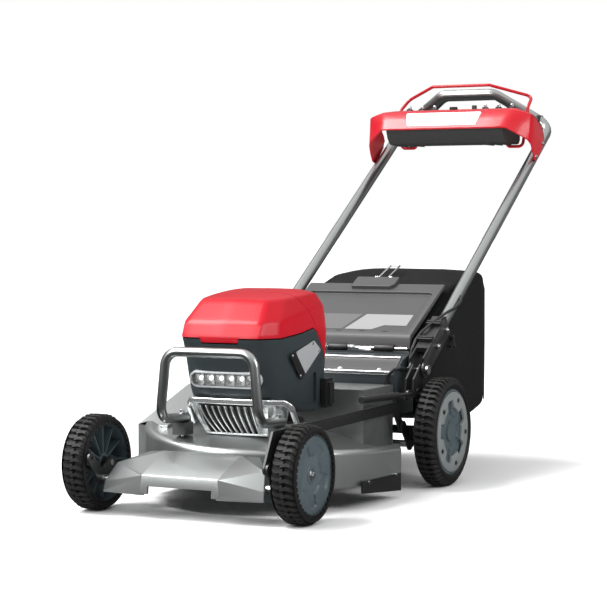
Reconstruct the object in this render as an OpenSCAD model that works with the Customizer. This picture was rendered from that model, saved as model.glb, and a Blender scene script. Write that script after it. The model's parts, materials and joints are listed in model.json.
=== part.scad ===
// Cordless walk-behind rotary lawn mower with a rear grass catcher.
// Every sub-part is drawn with the front axle at y = 0, the mower's nose towards -Y and the
// ground at z = 0, then moved back so that the origin is the centre of the footprint.

/* [Wheels] */
// Distance from the front axle to the rear axle
wheelbase = 670; // [600:5:760]
// Front tyre radius
front_r = 102; // [85:1:120]
// Rear tyre radius
rear_r = 126; // [105:1:150]
// Tyre width
tyre_w = 55; // [42:1:62]
// Distance from the middle of the mower to the middle of a front tyre
front_x = 244; // [240:1:262]
// Distance from the middle of the mower to the middle of a rear tyre
rear_x = 273; // [270:1:300]
// Radius of the axle pins
axle_r = 6; // [5:0.5:8]

/* [Deck] */
// Half the outer width of the cutting deck
deck_r = 262; // [240:1:275]
// Height of the top of the deck's rim
deck_h = 146; // [130:1:150]
// Height of the deck's lower lip above the ground
deck_lip = 50; // [44:1:54]
// Wall of the deck casting
deck_wall = 4; // [3:0.5:6]
// Distance of the blade's spindle behind the front axle
spindle_y = 300; // [290:1:315]
// Length of the blade
blade_l = 506; // [420:2:510]
// Half the inner width of the discharge tunnel
tunnel_x = 176; // [150:1:178]

/* [Motor body] */
// Half the greatest width of the motor body
body_x = 126; // [112:1:130]
// Top of the red cover
body_top = 470; // [450:1:480]
// Wall of the plastic shells
shell = 3; // [2.5:0.5:4]
// Diameter of the bull bar tube
bull_d = 21; // [16:1:25]
// Half the width of the bull bar
bull_x = 116; // [100:1:120]
// Height of the bull bar's centre line
bull_top = 337; // [320:1:350]

/* [Handle] */
// Distance from the middle to the centre line of a handle tube
handle_x = 218; // [216:1:219]
// Diameter of the handle tube
tube_d = 28; // [24:1:28]
// Slope of the handle above the horizontal
handle_slope = 33.2; // [30:0.2:36]
// Length of the handle from its fold pivot to the rear bend
handle_l = 1089; // [980:1:1180]
// Height of the handle's fold pivot
fold_z = 268; // [260:1:275]
// Diameter of the red operator bail's rod
bail_d = 8; // [6:0.5:9]

/* [Catcher] */
// Half the width of the grass bag
bag_x = 194; // [170:1:196]
// Length of the bag behind its mouth
bag_l = 454; // [380:1:480]
// Wall of the bag
bag_wall = 4; // [3:0.5:6]
// Half the width of the rear flap
flap_x = 182; // [160:1:186]

/* [Hidden] */
$fn = 48;
fit = 0.05;                 // radial running clearance of a pin in its bore
gap = 0.4;                  // clearance between pieces that move past each other
SIDES = [-1, 1];
front_z = front_r;          // height of the front axle
rear_z = rear_r;            // height of the rear axle
crank = [42, 28];           // from a carriage's pivot back and up to its stub axle
front_pivot = [-crank[0], front_z - crank[1]];
rear_pivot = [wheelbase - crank[0], rear_z - crank[1]];
link_arm = [-38, 45];       // from a carriage's pivot to its link pin
link_x = 199;               // inner face of the height link
link_t = 5;
crank_x = link_x + link_t + 1.5;
crank_t = 5;
carriage_r = 8;             // radius of the cross shafts
tunnel_y = wheelbase - 74;  // rear mouth of the discharge tunnel
tunnel_top = 232;
fold_y = wheelbase - 12;    // the handle's fold pivot
plate_t = 3;
foot_in = handle_x - tube_d / 2 - plate_t - 0.5;
foot_out = handle_x + tube_d / 2 + 0.5;
hinge_y = wheelbase + 14;   // hinge rod of the rear flap
hinge_z = 313;
hinge_r = 4;
mouth_y = wheelbase + 46;   // front face of the catcher
flap_top = [905 + wheelbase - 670, 458];
seam = [[232, 470], [372, 300]];  // side view of the joint between cover and lid
lid_axis = [230, body_top - 8];
battery_slope = 35;
u = [cos(handle_slope), sin(handle_slope)];
corner = [handle_x, fold_y + handle_l * u[0], fold_z + 6 + handle_l * u[1]];
grip = [75, corner[1] - 50, corner[2] + 90];
bend_r = 42;
bend_dir = unit(grip - corner);
console_y = corner[1] - 242;      // lower front bend of the console plate
console_z = corner[2] - 11;
bail_axis = [console_y + 141, console_z - 46];
lever_axis = [corner[1] - 4, corner[2] + 6];
y_back = corner[1] - bend_back(u, bend_dir) + tube_d / 2;
y_shift = -(y_back - front_r) / 2;

// ---------- helpers ----------
function unit(v) = v / norm(v);
// How far the rear of a bend lies in front of the corner where its two straights meet
function bend_back(slope, out) =
    let (a = [0, slope[0], slope[1]],
         half = acos(a * out) / 2,
         middle = unit(out - a),
         normal = unit(cross(a, out)))
    -(middle[1] * bend_r / cos(half) + bend_r * sqrt(1 - normal[1] * normal[1]));

module place() translate([0, y_shift, 0]) children();

// A cylinder along X from x0 to x1 at (y, z)
module rod_x(x0, x1, y, z, r) translate([x0, y, z]) rotate([0, 90, 0]) cylinder(r = r, h = x1 - x0);

// A side-view outline of (y, z) points, extruded along X from x0 to x1
module slab(points, x0, x1) translate([x0, 0, 0]) rotate([90, 0, 90])
    linear_extrude(x1 - x0) polygon(points);

// A straight bar of round section between two points
module bar(a, b, r) {
    d = b - a;
    translate(a) rotate([0, acos(d[2] / norm(d)), atan2(d[1], d[0])]) cylinder(r = r, h = norm(d));
}

// Points along straights that are joined by round bends, one radius for all or one for each
function bend_path(points, elbow, steps = 6) =
    let (last = len(points) - 1,
         dirs = [for (i = [0:last - 1]) unit(points[i + 1] - points[i])])
    concat([points[0]],
        [for (i = [1:last - 1])
            let (a = dirs[i - 1], b = dirs[i], turn = acos(a * b),
                 r = is_num(elbow) ? elbow : elbow[i - 1],
                 start = points[i] - a * r * tan(turn / 2),
                 inward = unit(b - a * (a * b)))
            for (k = [0:steps]) start + r * (a * sin(turn * k / steps)
                + inward * (1 - cos(turn * k / steps)))],
        [points[last]]);

// Normals carried along tangents without twist
function carried(normals, tangents, i) = i == len(tangents) ? normals :
    let (n = normals[i - 1], t = tangents[i])
    carried(concat(normals, [unit(n - t * (n * t))]), tangents, i + 1);

// A tube of the given number of sides along a path, closed at both ends
module sweep(path, r, sides) {
    n = len(path);
    tangents = [for (i = [0:n - 1]) unit(path[min(i + 1, n - 1)] - path[max(i - 1, 0)])];
    normals = carried([unit(cross(tangents[0], [0.1, 0.2, 1]))], tangents, 1);
    rings = [for (i = [0:n - 1]) let (a = normals[i], b = cross(tangents[i], a))
        for (k = [0:sides - 1]) path[i] + r * (cos(360 * k / sides) * a + sin(360 * k / sides) * b)];
    skin = [for (i = [0:n - 2], k = [0:sides - 1])
        [i * sides + k, (i + 1) * sides + k, (i + 1) * sides + (k + 1) % sides,
            i * sides + (k + 1) % sides]];
    ends = [[for (k = [0:sides - 1]) k], [for (k = [sides - 1:-1:0]) (n - 1) * sides + k]];
    polyhedron(rings, concat(skin, ends));
}

// A bent tube with round bends
module bent(points, r, elbow, sides = 12) sweep(bend_path(points, elbow), r, sides);

// A flat plate of the given thickness with round ends between two (y, z) points
function strip(path, r) =
    let (last = len(path) - 1,
         dirs = [for (i = [0:last - 1]) unit(path[i + 1] - path[i])],
         sides = [for (d = dirs) [-d[1], d[0]]],
         mitres = [for (i = [1:1:last - 1]) (sides[i - 1] + sides[i]) * r / (1 + sides[i - 1] * sides[i])],
         heading = [for (d = dirs) atan2(d[1], d[0])])
    concat(arc(path[last], r, heading[last - 1] - 90, heading[last - 1] + 90),
        [for (i = [last - 1:-1:1]) path[i] + mitres[i - 1]],
        arc(path[0], r, heading[0] + 90, heading[0] + 270),
        [for (i = [1:1:last - 1]) path[i] - mitres[i - 1]]);
module strap(path, r, x0, x1) slab(strip(path, r), x0, x1);

// ---------- deck ----------
rim_r = 13;
function arc(c, r, a0, a1, n = 8) =
    [for (i = [0:n]) c + r * [cos(a0 + (a1 - a0) * i / n), sin(a0 + (a1 - a0) * i / n)]];
function deck_outline(t) = concat(
    [[deck_r - t, 0]],
    arc([deck_r - rim_r, deck_h - rim_r], rim_r - t, 0, 130),
    arc([deck_r - 3 * rim_r, deck_h - rim_r + 7], rim_r / 2 + t, -60, -100, 4),
    [[130, deck_h + 6 - t], [0, deck_h + 14 - t]]);

module deck_form(t) {
    half = concat(deck_outline(t), [[0, 0]]);
    translate([0, spindle_y, 0]) {
        rotate([0, 0, 180]) rotate_extrude(angle = 180, $fn = 96) polygon(half);
        for (m = [0, 1]) mirror([m, 0, 0]) rotate([90, 0, 0]) mirror([0, 0, 1])
            linear_extrude(deck_back - t) polygon(half);
    }
}
deck_back = 155;            // straight part of the deck behind the spindle

// The discharge tunnel rises along the left side and runs out to the rear
module tunnel(g) {
    hull() {
        translate([-deck_r + 12 - g, spindle_y - 110 - g, deck_lip])
            cube([70 + g, 20, deck_h - deck_lip + 14 + g]);
        translate([-deck_r + 16 - g, spindle_y + 100, deck_lip])
            cube([96 + g, 24 + g, tunnel_top - deck_lip + g]);
    }
    translate([-tunnel_x - g, spindle_y + deck_back - 20 - g, deck_lip])
        cube([2 * tunnel_x + 2 * g, tunnel_y - spindle_y - deck_back + 20 + g,
            tunnel_top - deck_lip + g]);
    hull() {
        translate([-deck_r + 16 - g, spindle_y + 100, deck_lip])
            cube([96 + g, 24, tunnel_top - deck_lip + g]);
        translate([-tunnel_x - g, spindle_y + 200, deck_lip])
            cube([120, 20, tunnel_top - deck_lip + g]);
    }
}

module deck() color("silver") difference() {
    union() {
        difference() {
            deck_form(0);
            translate([-deck_r - 1, -deck_r, -1]) cube([2 * deck_r + 2, 4 * deck_r, deck_lip + 1]);
        }
        tunnel(deck_wall);
        translate([0, spindle_y, deck_h]) cylinder(r = 92, h = pad_z - deck_h);
    }
    difference() {
        deck_form(deck_wall);
        translate([0, spindle_y, deck_h - 14]) cylinder(r = 60, h = 40);
    }
    tunnel(0);
    translate([-tunnel_x, tunnel_y - 1, deck_lip]) cube([2 * tunnel_x, 10, tunnel_top - deck_lip]);
    translate([0, spindle_y, 0]) cylinder(r = spindle_hole, h = 400);
    for (s = SIDES) translate([s * bull_x, bull_foot_y - 18, deck_h - 30]) cylinder(r = 3.2, h = 80);
    for (y = trim_bolts) rod_x(-400, 400, spindle_y - 60 + y, trim_z, 2.6);
}
pad_z = 172;                // top of the motor pad
spindle_hole = 14;

trim_top = deck_lip + 10;
trim_z = deck_lip + 4.8;
trim_bolts = [30, deck_back + 20];
module deck_trim() color([0.12, 0.12, 0.13]) for (m = [0, 1]) mirror([m, 0, 0])
    difference() {
        translate([deck_r + 0.2, spindle_y - 60, 0])
            slab([[0, deck_lip - 16], [0, trim_top], [deck_back + 50, trim_top - 5],
                [deck_back + 50, deck_lip - 34]], 0, 4);
        for (y = trim_bolts) rod_x(0, 400, spindle_y - 60 + y, trim_z, 2.6);
    }

// ---------- nose ----------
apron_back = 36;
module apron_form(g) {
    // Left, middle and right facets of the nose, each falling forwards
    hull() for (s = SIDES) {
        translate([s * (91 - g), 20, 128 - g]) sphere(r = 3, $fn = 16);
        translate([s * (88 - g), -72 + g, 89 - g]) sphere(r = 3, $fn = 16);
        translate([s * (92 - g), -74 + g, 52]) cylinder(r = 3, h = 3, $fn = 16);
        translate([s * (91 - g), 20, 52]) cylinder(r = 3, h = 3, $fn = 16);
    }
    for (s = SIDES) hull() {
        translate([s * 88, 20, 128 - g]) sphere(r = 3, $fn = 16);
        translate([s * (128 - g), apron_back - 6, 124 - g]) sphere(r = 3, $fn = 16);
        translate([s * 86, -72 + g, 89 - g]) sphere(r = 3, $fn = 16);
        translate([s * (172 - g), -30 + g, 105 - g]) sphere(r = 3, $fn = 16);
        translate([s * (184 - g), -58 + g, 70 - g]) sphere(r = 3, $fn = 16);
        for (p = [[88, -74 + g], [186 - g, -62 + g], [184 - g, apron_back - 6], [88, apron_back - 6]])
            translate([s * p[0], p[1], 49]) cylinder(r = 3, h = 3, $fn = 16);
    }
}

module front_apron() color("silver") difference() {
    apron_form(0);
    translate([0, 2, -6]) apron_form(4);
    translate([-75, -120, 40]) cube([150, 110, 28]);
    translate([-220, -10, 30]) cube([440, 90, 40]);
    rod_x(-300, 300, front_pivot[0], front_pivot[1], carriage_r + 1);
}

bull_foot_y = 160;          // rear end of the bull bar's feet
bull_foot_z = pad_z + 15;
module bull_bar() color("silver") difference() {
    bent(bull_points, bull_d / 2, 32, 16);
    for (s = SIDES) translate([s * bull_x, bull_foot_y - 18, 0]) cylinder(r = 3.2, h = 240);
}
bull_points = [
    [-bull_x, bull_foot_y, bull_foot_z], [-bull_x - 2, 50, bull_foot_z + 6],
    [-bull_x + 12, 52, bull_top], [bull_x - 12, 52, bull_top],
    [bull_x + 2, 50, bull_foot_z + 6], [bull_x, bull_foot_y, bull_foot_z]];

module bull_bar_clamps() color("dimgray") for (s = SIDES)
    difference() {
        translate([s * bull_x - 15, bull_foot_y - 36, deck_h + 6]) cube([30, 38, 26]);
        bull_bar();
        translate([0, spindle_y, 0]) cylinder(r = 93, h = 400);
        translate([s * bull_x, bull_foot_y - 18, 0]) cylinder(r = 3.2, h = 400);
        translate([s * bull_x - 20, 0, bull_foot_z + 0.1]) cube([40, 400, 40]);
    }

// ---------- motor body ----------
// Plan half-widths of the body at stations behind the front axle, at its waist
module body_form(g) {
    lift = body_top - 470;
    hull() for (s = SIDES) {
        for (p = [[80, 98, 366 + lift], [body_x - 24, 128, 384], [body_x - 12, 290, 392],
            [body_x - 14, 388, 388], [78, 142, 238], [body_x - 20, 190, 240],
            [body_x - 14, 330, 240], [body_x - 30, 392, 300]])
            translate([s * (p[0] - g), p[1] + (p[1] > 260 ? -g : g), p[2]])
                sphere(r = 12, $fn = 16);
    }
    hull() for (s = SIDES) {
        for (p = [[78, 122, 386 + lift], [body_x - 26, 140, 390], [body_x - 14, 290, 396],
            [body_x - 20, 392, 392], [68, 178, 430 + lift], [62, 300, 459 + lift],
            [78, 392, 432 + lift]])
            translate([s * (p[0] - g), p[1] + (p[1] > 260 ? -g : g), p[2] - g])
                sphere(r = 12, $fn = 16);
    }
}
housing_edge = [[0, 364], [150, 364], [240, 372], [288, 380], [306, 372], [366, 300]];

module body_housing() color([0.2, 0.23, 0.25]) difference() {
    union() {
        intersection() {
            body_form(0);
            slab(concat(housing_edge, [[430, 300], [430, cowl_top + 1], [0, cowl_top + 1]]),
                -200, 200);
        }
        for (s = SIDES) translate([s > 0 ? body_x - 26 : 10 - body_x, 214, pad_z + 14])
            cube([16, 150, 60]);
    }
    body_form(shell);
    translate([-body_x + 30, 190, 0]) cube([2 * body_x - 60, 180, 300]);
    translate([0, 122, 275]) rotate([-72, 0, 0]) linear_extrude(60, center = true) lamp_outline(0.4);
}
cowl_top = 236;

module top_cover() color([0.85, 0.07, 0.15]) difference() {
    intersection() {
        body_form(0);
        slab(concat([for (p = housing_edge) p + [0, 1]], [[seam[1][0] - 1, seam[1][1] + 2],
            seam[0] - [1, 0], [seam[0][0] - 1, 520], [0, 520]]), -200, 200);
    }
    body_form(shell);
}

module battery_lid() color([0.85, 0.07, 0.15]) difference() {
    intersection() {
        body_form(0);
        slab([seam[0] + [gap, 0], seam[1] + [gap, 1], [440, 301], [440, 520], [seam[0][0] + gap, 520]],
            -200, 200);
    }
    body_form(shell);
}

module lamp_outline(g) hull() for (s = SIDES) translate([s * 76, 0]) circle(r = 15 + g);
module headlight() color("gainsboro") translate([0, 122, 275]) rotate([-72, 0, 0]) difference() {
    translate([0, 0, -4]) linear_extrude(14) lamp_outline(0);
    for (i = [-3:3]) translate([i * 24, 0, 4]) cylinder(r = 9, h = 12);
}

module motor_cowl() color("lightgray") difference() {
    intersection() {
        union() {
            hull() for (s = SIDES) {
                for (p = [[82, 138], [body_x - 24, 176], [body_x - 24, 204]])
                    translate([s * p[0], p[1], cowl_top - 8]) cylinder(r = 8, h = 8, $fn = 24);
                for (p = [[56, 176], [body_x - 40, 208]])
                    translate([s * p[0], p[1], deck_h + 8]) cylinder(r = 8, h = 4, $fn = 24);
            }
            hull() for (s = SIDES) for (p = [[84, 136], [body_x - 22, 174], [body_x - 22, 206]])
                translate([s * p[0], p[1], cowl_top - 9]) cylinder(r = 10, h = 9, $fn = 24);
        }
        translate([-200, 0, 0]) cube([400, 212, 400]);
    }
    translate([0, spindle_y, 0]) cylinder(r = 118, h = 400);
    for (i = [-4:4]) translate([i * 17, 100, 204]) cube([11, 60, 14], center = true);
}

module cable_block() color([0.09, 0.09, 0.1]) translate([body_x - 1, 326, 204]) {
    cube([14, 34, 64]);
    translate([14, 6, 8]) cube([7, 22, 48]);
}

module battery_frame() translate([0, 262, 336]) rotate([battery_slope, 0, 0]) children();
module battery_bay() color([0.15, 0.15, 0.16]) battery_frame() difference() {
    translate([-84, -34, -48]) cube([168, 150, 50]);
    translate([-78, -30, -44]) cube([156, 200, 60]);
}
module battery_pack() color([0.1, 0.1, 0.11]) battery_frame() {
    translate([-77, -29, -43.6]) cube([154, 124, 74]);
    for (s = SIDES) translate([s * 50 - 12, 94, -20]) cube([24, 5, 30]);
}

module controller() color("seagreen") translate([-50, spindle_y - 50, pad_z + 53])
    cube([100, 60, 18]);

module motor() color("dimgray") translate([0, spindle_y, 0]) difference() {
    union() {
        translate([0, 0, pad_z + 1]) cylinder(r = 70, h = 52);
        translate([0, 0, pad_z]) cylinder(r = 88, h = 6);
        translate([0, 0, deck_h - 20]) cylinder(r = spindle_hole - 0.3, h = 30);
    }
    translate([0, 0, 0]) cylinder(r = spindle_r + fit, h = 400);
}

// ---------- cutting ----------
spindle_r = 10;
blade_z = 62;
module spindle() color("silver") translate([0, spindle_y, 0]) {
    translate([0, 0, blade_z + 4]) cylinder(r = spindle_r, h = pad_z + 46 - blade_z);
    translate([0, 0, blade_z + 4]) cylinder(r = 28, h = 10);
}
module blade() color("slategray") translate([0, spindle_y, blade_z]) difference() {
    intersection() {
        union() {
            translate([-blade_l / 2, -28, 0]) cube([blade_l, 56, 4]);
            for (s = SIDES) translate([s * (blade_l / 2 - 34), s * -20, 4]) rotate([s * 24, 0, 0])
                translate([-34, -8, -1]) cube([68, 16, 4]);
        }
        cylinder(r = blade_l / 2, h = 30);
    }
    cylinder(r = 5.1, h = 20, center = true);
}
module blade_bolt() color("silver") translate([0, spindle_y, 0]) {
    translate([0, 0, blade_z - 5]) cylinder(r = 20, h = 5);
    translate([0, 0, blade_z - 13]) cylinder(r = 9, h = 8, $fn = 6);
    translate([0, 0, blade_z - 5]) cylinder(r = 5, h = 9);
}

// ---------- carriages and wheels ----------
module cranks(pivot, axle, inner) for (s = SIDES) mirror([s < 0 ? 1 : 0, 0, 0]) difference() {
    union() {
        strap([pivot, axle], 15, crank_x, crank_x + crank_t);
        strap([pivot, pivot + link_arm], 12, crank_x, crank_x + crank_t);
        rod_x(crank_x, inner - 0.5, axle[0], axle[1], 11);
    }
    rod_x(0, 400, pivot[0], pivot[1], carriage_r);
    rod_x(0, 400, axle[0], axle[1], axle_r);
    rod_x(0, 400, pivot[0] + link_arm[0], pivot[1] + link_arm[1], 4);
}
module axle(pivot, axle, outer) {
    rod_x(-crank_x - crank_t, crank_x + crank_t, pivot[0], pivot[1], carriage_r);
    for (s = SIDES) mirror([s < 0 ? 1 : 0, 0, 0]) {
        rod_x(crank_x, outer + 6, axle[0], axle[1], axle_r);
        rod_x(outer + 1, outer + 6, axle[0], axle[1], 10, $fn = 6);
    }
    rod_x(link_x - 1, crank_x + crank_t, pivot[0] + link_arm[0], pivot[1] + link_arm[1], 4);
}
front_axle_yz = [0, front_z];
rear_axle_yz = [wheelbase, rear_z];
module front_cranks() color([0.1, 0.1, 0.1])
    cranks(front_pivot, front_axle_yz, front_x - tyre_w / 2 + 10);
module rear_cranks() color([0.1, 0.1, 0.1])
    cranks(rear_pivot, rear_axle_yz, rear_x - tyre_w / 2 + 10);
module front_axle() color("silver") axle(front_pivot, front_axle_yz, front_x + 14);
module rear_axle() color("silver") axle(rear_pivot, rear_axle_yz, rear_x + 12);

module drive_unit() color([0.18, 0.18, 0.19]) difference() {
    union() {
        rod_x(-crank_x + 1, crank_x - 1, wheelbase, rear_z, 10);
        rod_x(-52, 40, rear_pivot[0] + 18, rear_pivot[1] + 8, 24);
        slab([rear_pivot + [18, -10], rear_pivot + [18, 30], [wheelbase, rear_z + 9],
            [wheelbase, rear_z - 9]], -46, 34);
    }
    rod_x(-60, 60, rear_pivot[0], rear_pivot[1], carriage_r);
}

// A tyre about the X axis: round shoulders and a bead seat for the rim
module tyre(r, w, seat) rotate([0, 90, 0]) rotate_extrude($fn = 96) polygon(concat(
    [[seat, -w / 2 + 3]],
    arc([seat + 4, -w / 2 + 3], 3, 180, 270, 3),
    arc([r - 12, -w / 2 + 12], 12, -90, -20, 5),
    arc([r - 12, w / 2 - 12], 12, 20, 90, 5),
    arc([seat + 4, w / 2 - 3], 3, 90, 180, 3)));
module rim(seat, w, hub) difference() {
    rotate([0, 90, 0]) union() {
        rotate_extrude($fn = 96) polygon([[seat - 5, -w / 2 + 4], [seat, -w / 2 + 4],
            [seat, w / 2 - 4], [seat - 5, w / 2 - 4]]);
        translate([0, 0, w / 2 - 15]) cylinder(r = seat - 4, h = 4, $fn = 96);
        translate([0, 0, -w / 2 + 10]) cylinder(r = hub, h = w - 24);
    }
    rod_x(-w, w, 0, 0, axle_r + fit);
    rod_x(-w / 2, -w / 2 + 16, 0, 0, hub - 5);
    rod_x(w / 2 - 18, w, 0, 0, 10.6);
}
module rim_ribs(seat, w, hub) for (a = [0:30:330]) rotate([a, 0, 0])
    translate([-w / 2 + 12, hub - 1, -1.25]) cube([w - 26, seat - hub - 3, 2.5]);
module wheel_rim(seat, hub) {
    rim(seat, tyre_w, hub);
    rim_ribs(seat, tyre_w, hub);
}
// Outer face of a front wheel: a shallow dish with five raised lobes
module front_disc() difference() {
    union() {
        rod_x(tyre_w / 2 - 10.5, tyre_w / 2 - 5, 0, 0, front_seat - 5.5);
        for (a = [0:72:288]) rotate([a, 0, 0])
            translate([tyre_w / 2 - 6, -13, 24]) cube([4, 26, front_seat - 34]);
    }
    rod_x(0, 60, 0, 0, axle_r + 6);
}
front_seat = front_r - 17;
rear_seat = rear_r - 28;
module rear_ring() difference() {
    rod_x(tyre_w / 2 - 10.5, tyre_w / 2 - 5, 0, 0, rear_seat - 5.5);
    for (a = [0:60:300]) rotate([a, 0, 0])
        rod_x(0, 60, rear_seat * 0.42, 0, 22);
    rod_x(0, 60, 0, 0, rear_seat * 0.45);
}
module at_wheel(side, x, yz) translate([side * x, yz[0], yz[1]])
    mirror([side < 0 ? 1 : 0, 0, 0]) children();

module front_tyre(s) color([0.07, 0.07, 0.07])
    at_wheel(s, front_x, front_axle_yz) tyre(front_r, tyre_w, front_seat);
module front_rim(s) color([0.15, 0.18, 0.19])
    at_wheel(s, front_x, front_axle_yz) wheel_rim(front_seat, 18);
module front_cap(s) color([0.28, 0.33, 0.35]) at_wheel(s, front_x, front_axle_yz) front_disc();
module rear_tyre(s) color([0.07, 0.07, 0.07])
    at_wheel(s, rear_x, rear_axle_yz) tyre(rear_r, tyre_w, rear_seat);
module rear_rim(s) color([0.2, 0.24, 0.26])
    at_wheel(s, rear_x, rear_axle_yz) wheel_rim(rear_seat, 22);
module rear_plate(s) color("gray") at_wheel(s, rear_x, rear_axle_yz) rear_ring();

// ---------- height adjuster ----------
pin_f = front_pivot + link_arm;
pin_r = rear_pivot + link_arm;
link_top = 188;
module height_link() color([0.12, 0.12, 0.12]) difference() {
    strap([pin_f, [pin_f[0] + 34, link_top - 8], [pin_r[0] - 34, link_top], pin_r], 12,
        link_x, link_x + link_t);
    rod_x(0, 400, pin_f[0], pin_f[1], 4 + 2 * fit);
    rod_x(0, 400, pin_r[0], pin_r[1], 4.8);
}
lever_pivot = [wheelbase - 52, 214];
lever_x = 232;
module height_lever() color([0.14, 0.14, 0.14]) difference() {
    union() {
        strap([lever_pivot, lever_pivot + [-60, 6]], 9, lever_x, lever_x + 5);
        rod_x(lever_x, lever_x + 5, lever_pivot[0], lever_pivot[1], 16);
        bar([lever_x + 2.5, lever_pivot[0] - 50, lever_pivot[1] + 5],
            [lever_x + 2.5, lever_pivot[0] - 300, lever_pivot[1] + 12], 4.5);
    }
    rod_x(0, 400, lever_pivot[0], lever_pivot[1], 5 + fit);
}
module lever_grip() color([0.08, 0.08, 0.08]) difference() {
    bar([lever_x + 2.5, lever_pivot[0] - 120, lever_pivot[1] + 6.96],
        [lever_x + 2.5, lever_pivot[0] - 316, lever_pivot[1] + 12.45], 8);
    bar([lever_x + 2.5, lever_pivot[0] - 50, lever_pivot[1] + 5],
        [lever_x + 2.5, lever_pivot[0] - 300, lever_pivot[1] + 12], 4.5);
}

// ---------- rear of the chassis ----------
throat_z = 174;             // floor of the opening between the tunnel and the catcher
module rear_bulkhead() color([0.22, 0.24, 0.25]) difference() {
    slab([[tunnel_y + 4, throat_z - 8], [tunnel_y + 4, 262], [tunnel_y + 40, 290],
        [hinge_y - 8, 300], [hinge_y - 8, 308], [hinge_y + 16, 300],
        [hinge_y + 16, throat_z - 8]], -186, 186);
    slab([[0, throat_z], [0, tunnel_top], [tunnel_y + 10, tunnel_top], [tunnel_y + 44, 278],
        [1000, 278], [1000, throat_z]], -158, 158);
    for (x = [-120, 0, 120]) rod_x(x - 26, x + 26, hinge_y, hinge_z, 11);
    rod_clips();
}
module rod_clips() for (x = [-70, 70]) translate([x - 15, hinge_y - 5, 302.5]) cube([30, 10, 8]);
module flap_hinge_rod() color("silver") {
    rod_x(-flap_x + 4, flap_x - 4, hinge_y, hinge_z, hinge_r);
    rod_clips();
}
lug_z = 202;                // underside of the lugs, above the swing of the height link
module handle_lugs() color([0.1, 0.1, 0.1]) for (s = SIDES) mirror([s < 0 ? 1 : 0, 0, 0])
    difference() {
        union() {
            for (x = [handle_x - 11, handle_x + 7])
                slab([[wheelbase - 74, lug_z], [wheelbase - 66, 250], [fold_y - 14, fold_z + 14],
                    [fold_y + 12, fold_z + 12], [fold_y + 14, fold_z - 8], [wheelbase - 20, lug_z + 10],
                    [wheelbase - 26, lug_z]], x, x + 4);
            translate([186, wheelbase - 69, lug_z]) cube([handle_x + 11 - 186, 43, 6]);
            translate([186, wheelbase - 69, lug_z]) cube([5, 43, 20]);
            rod_x(handle_x + 7, lever_x + 9, lever_pivot[0], lever_pivot[1], 5);
        }
        rod_x(0, 400, fold_y, fold_z, 5);
    }
module fold_bolts() color("silver") for (s = SIDES) mirror([s < 0 ? 1 : 0, 0, 0]) {
    rod_x(foot_in - 6, foot_out + plate_t + 2, fold_y, fold_z, 5);
    rod_x(foot_out + plate_t + 1, foot_out + plate_t + 8, fold_y, fold_z, 11);
    rod_x(foot_in - 8, foot_in - 1, fold_y, fold_z, 9, $fn = 6);
}

module chassis_screws() color("silver") {
    for (s = SIDES) translate([s * bull_x, bull_foot_y - 18, deck_h + 2])
        cylinder(r = 3, h = bull_foot_z + bull_d / 2 - deck_h);
    for (s = SIDES) translate([s * bull_x, bull_foot_y - 18, bull_foot_z + bull_d / 2 + 1.8])
        cylinder(r = 6.5, h = 6, $fn = 6);
    for (s = SIDES, y = trim_bolts) mirror([s < 0 ? 1 : 0, 0, 0]) {
        rod_x(deck_r - 3, deck_r + 4.3, spindle_y - 60 + y, trim_z, 2.5);
        rod_x(deck_r + 4.3, deck_r + 7, spindle_y - 60 + y, trim_z, 3.8);
    }
}

// ---------- cable held along the frame ----------
cable_r = 3;
cable_x = 189.4;
harness_path = [[cable_x, 606, 226], [cable_x, 603, 244], [cable_x, 610, 260],
    [cable_x, 624, 267], [cable_x, 636, 268], [cable_x, 651, 268]];
module harness() color([0.05, 0.05, 0.05]) translate([0, wheelbase - 670, fold_z - 268])
    sweep(harness_path, cable_r, 8);
module handle_cable() color([0.05, 0.05, 0.05]) sweep([
    [cable_x, fold_y + 7, fold_z + 3], [cable_x, fold_y + 16, fold_z + 10],
    on_handle(cable_x, 36, 16), on_handle(cable_x + 1, 64, 28), on_handle(cable_x + 8, 92, 31),
    on_handle(cable_x + 18, 120, 31), on_handle(cable_x + 24, 150, 31),
    on_handle(cable_x + 27, 180, 28), on_handle(cable_x + 28, 210, 20),
    on_handle(cable_x + 28, 240, 17.2), on_handle(cable_x + 28, 290, 17.2)], cable_r, 8);
function on_handle(x, d, h) = [x, along(d, h)[0], along(d, h)[1]];

// ---------- handle ----------
foot_end = 165;             // length of a handle foot from its pivot
function along(d, h = 0) = [fold_y + d * u[0] - h * u[1], fold_z + 6 + d * u[1] + h * u[0]];
module handle_tube() color("gainsboro") bent([
    [-handle_x, along(52)[0], along(52)[1]], [-corner[0], corner[1], corner[2]],
    [-grip[0], grip[1], grip[2]], grip, corner, [handle_x, along(52)[0], along(52)[1]]],
    tube_d / 2, bend_r);

module handle_feet() color([0.13, 0.13, 0.13]) for (s = SIDES) mirror([s < 0 ? 1 : 0, 0, 0])
    difference() {
        union() {
            for (x = [foot_in, foot_out]) {
                translate([x, fold_y, fold_z + 6]) rotate([handle_slope, 0, 0])
                    translate([0, 0, -22]) cube([plate_t, foot_end, 48]);
                rod_x(x, x + plate_t, fold_y, fold_z, 20);
            }
            translate([foot_in, fold_y, fold_z + 6]) rotate([handle_slope, 0, 0])
                translate([0, 40, tube_d / 2 + 0.5])
                    cube([foot_out - foot_in + plate_t, foot_end - 40, 11]);
        }
        rod_x(0, 400, fold_y, fold_z, 5 + fit);
        for (d = [80, 145]) rod_x(0, 400, along(d)[0], along(d)[1], 3.2);
    }

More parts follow.
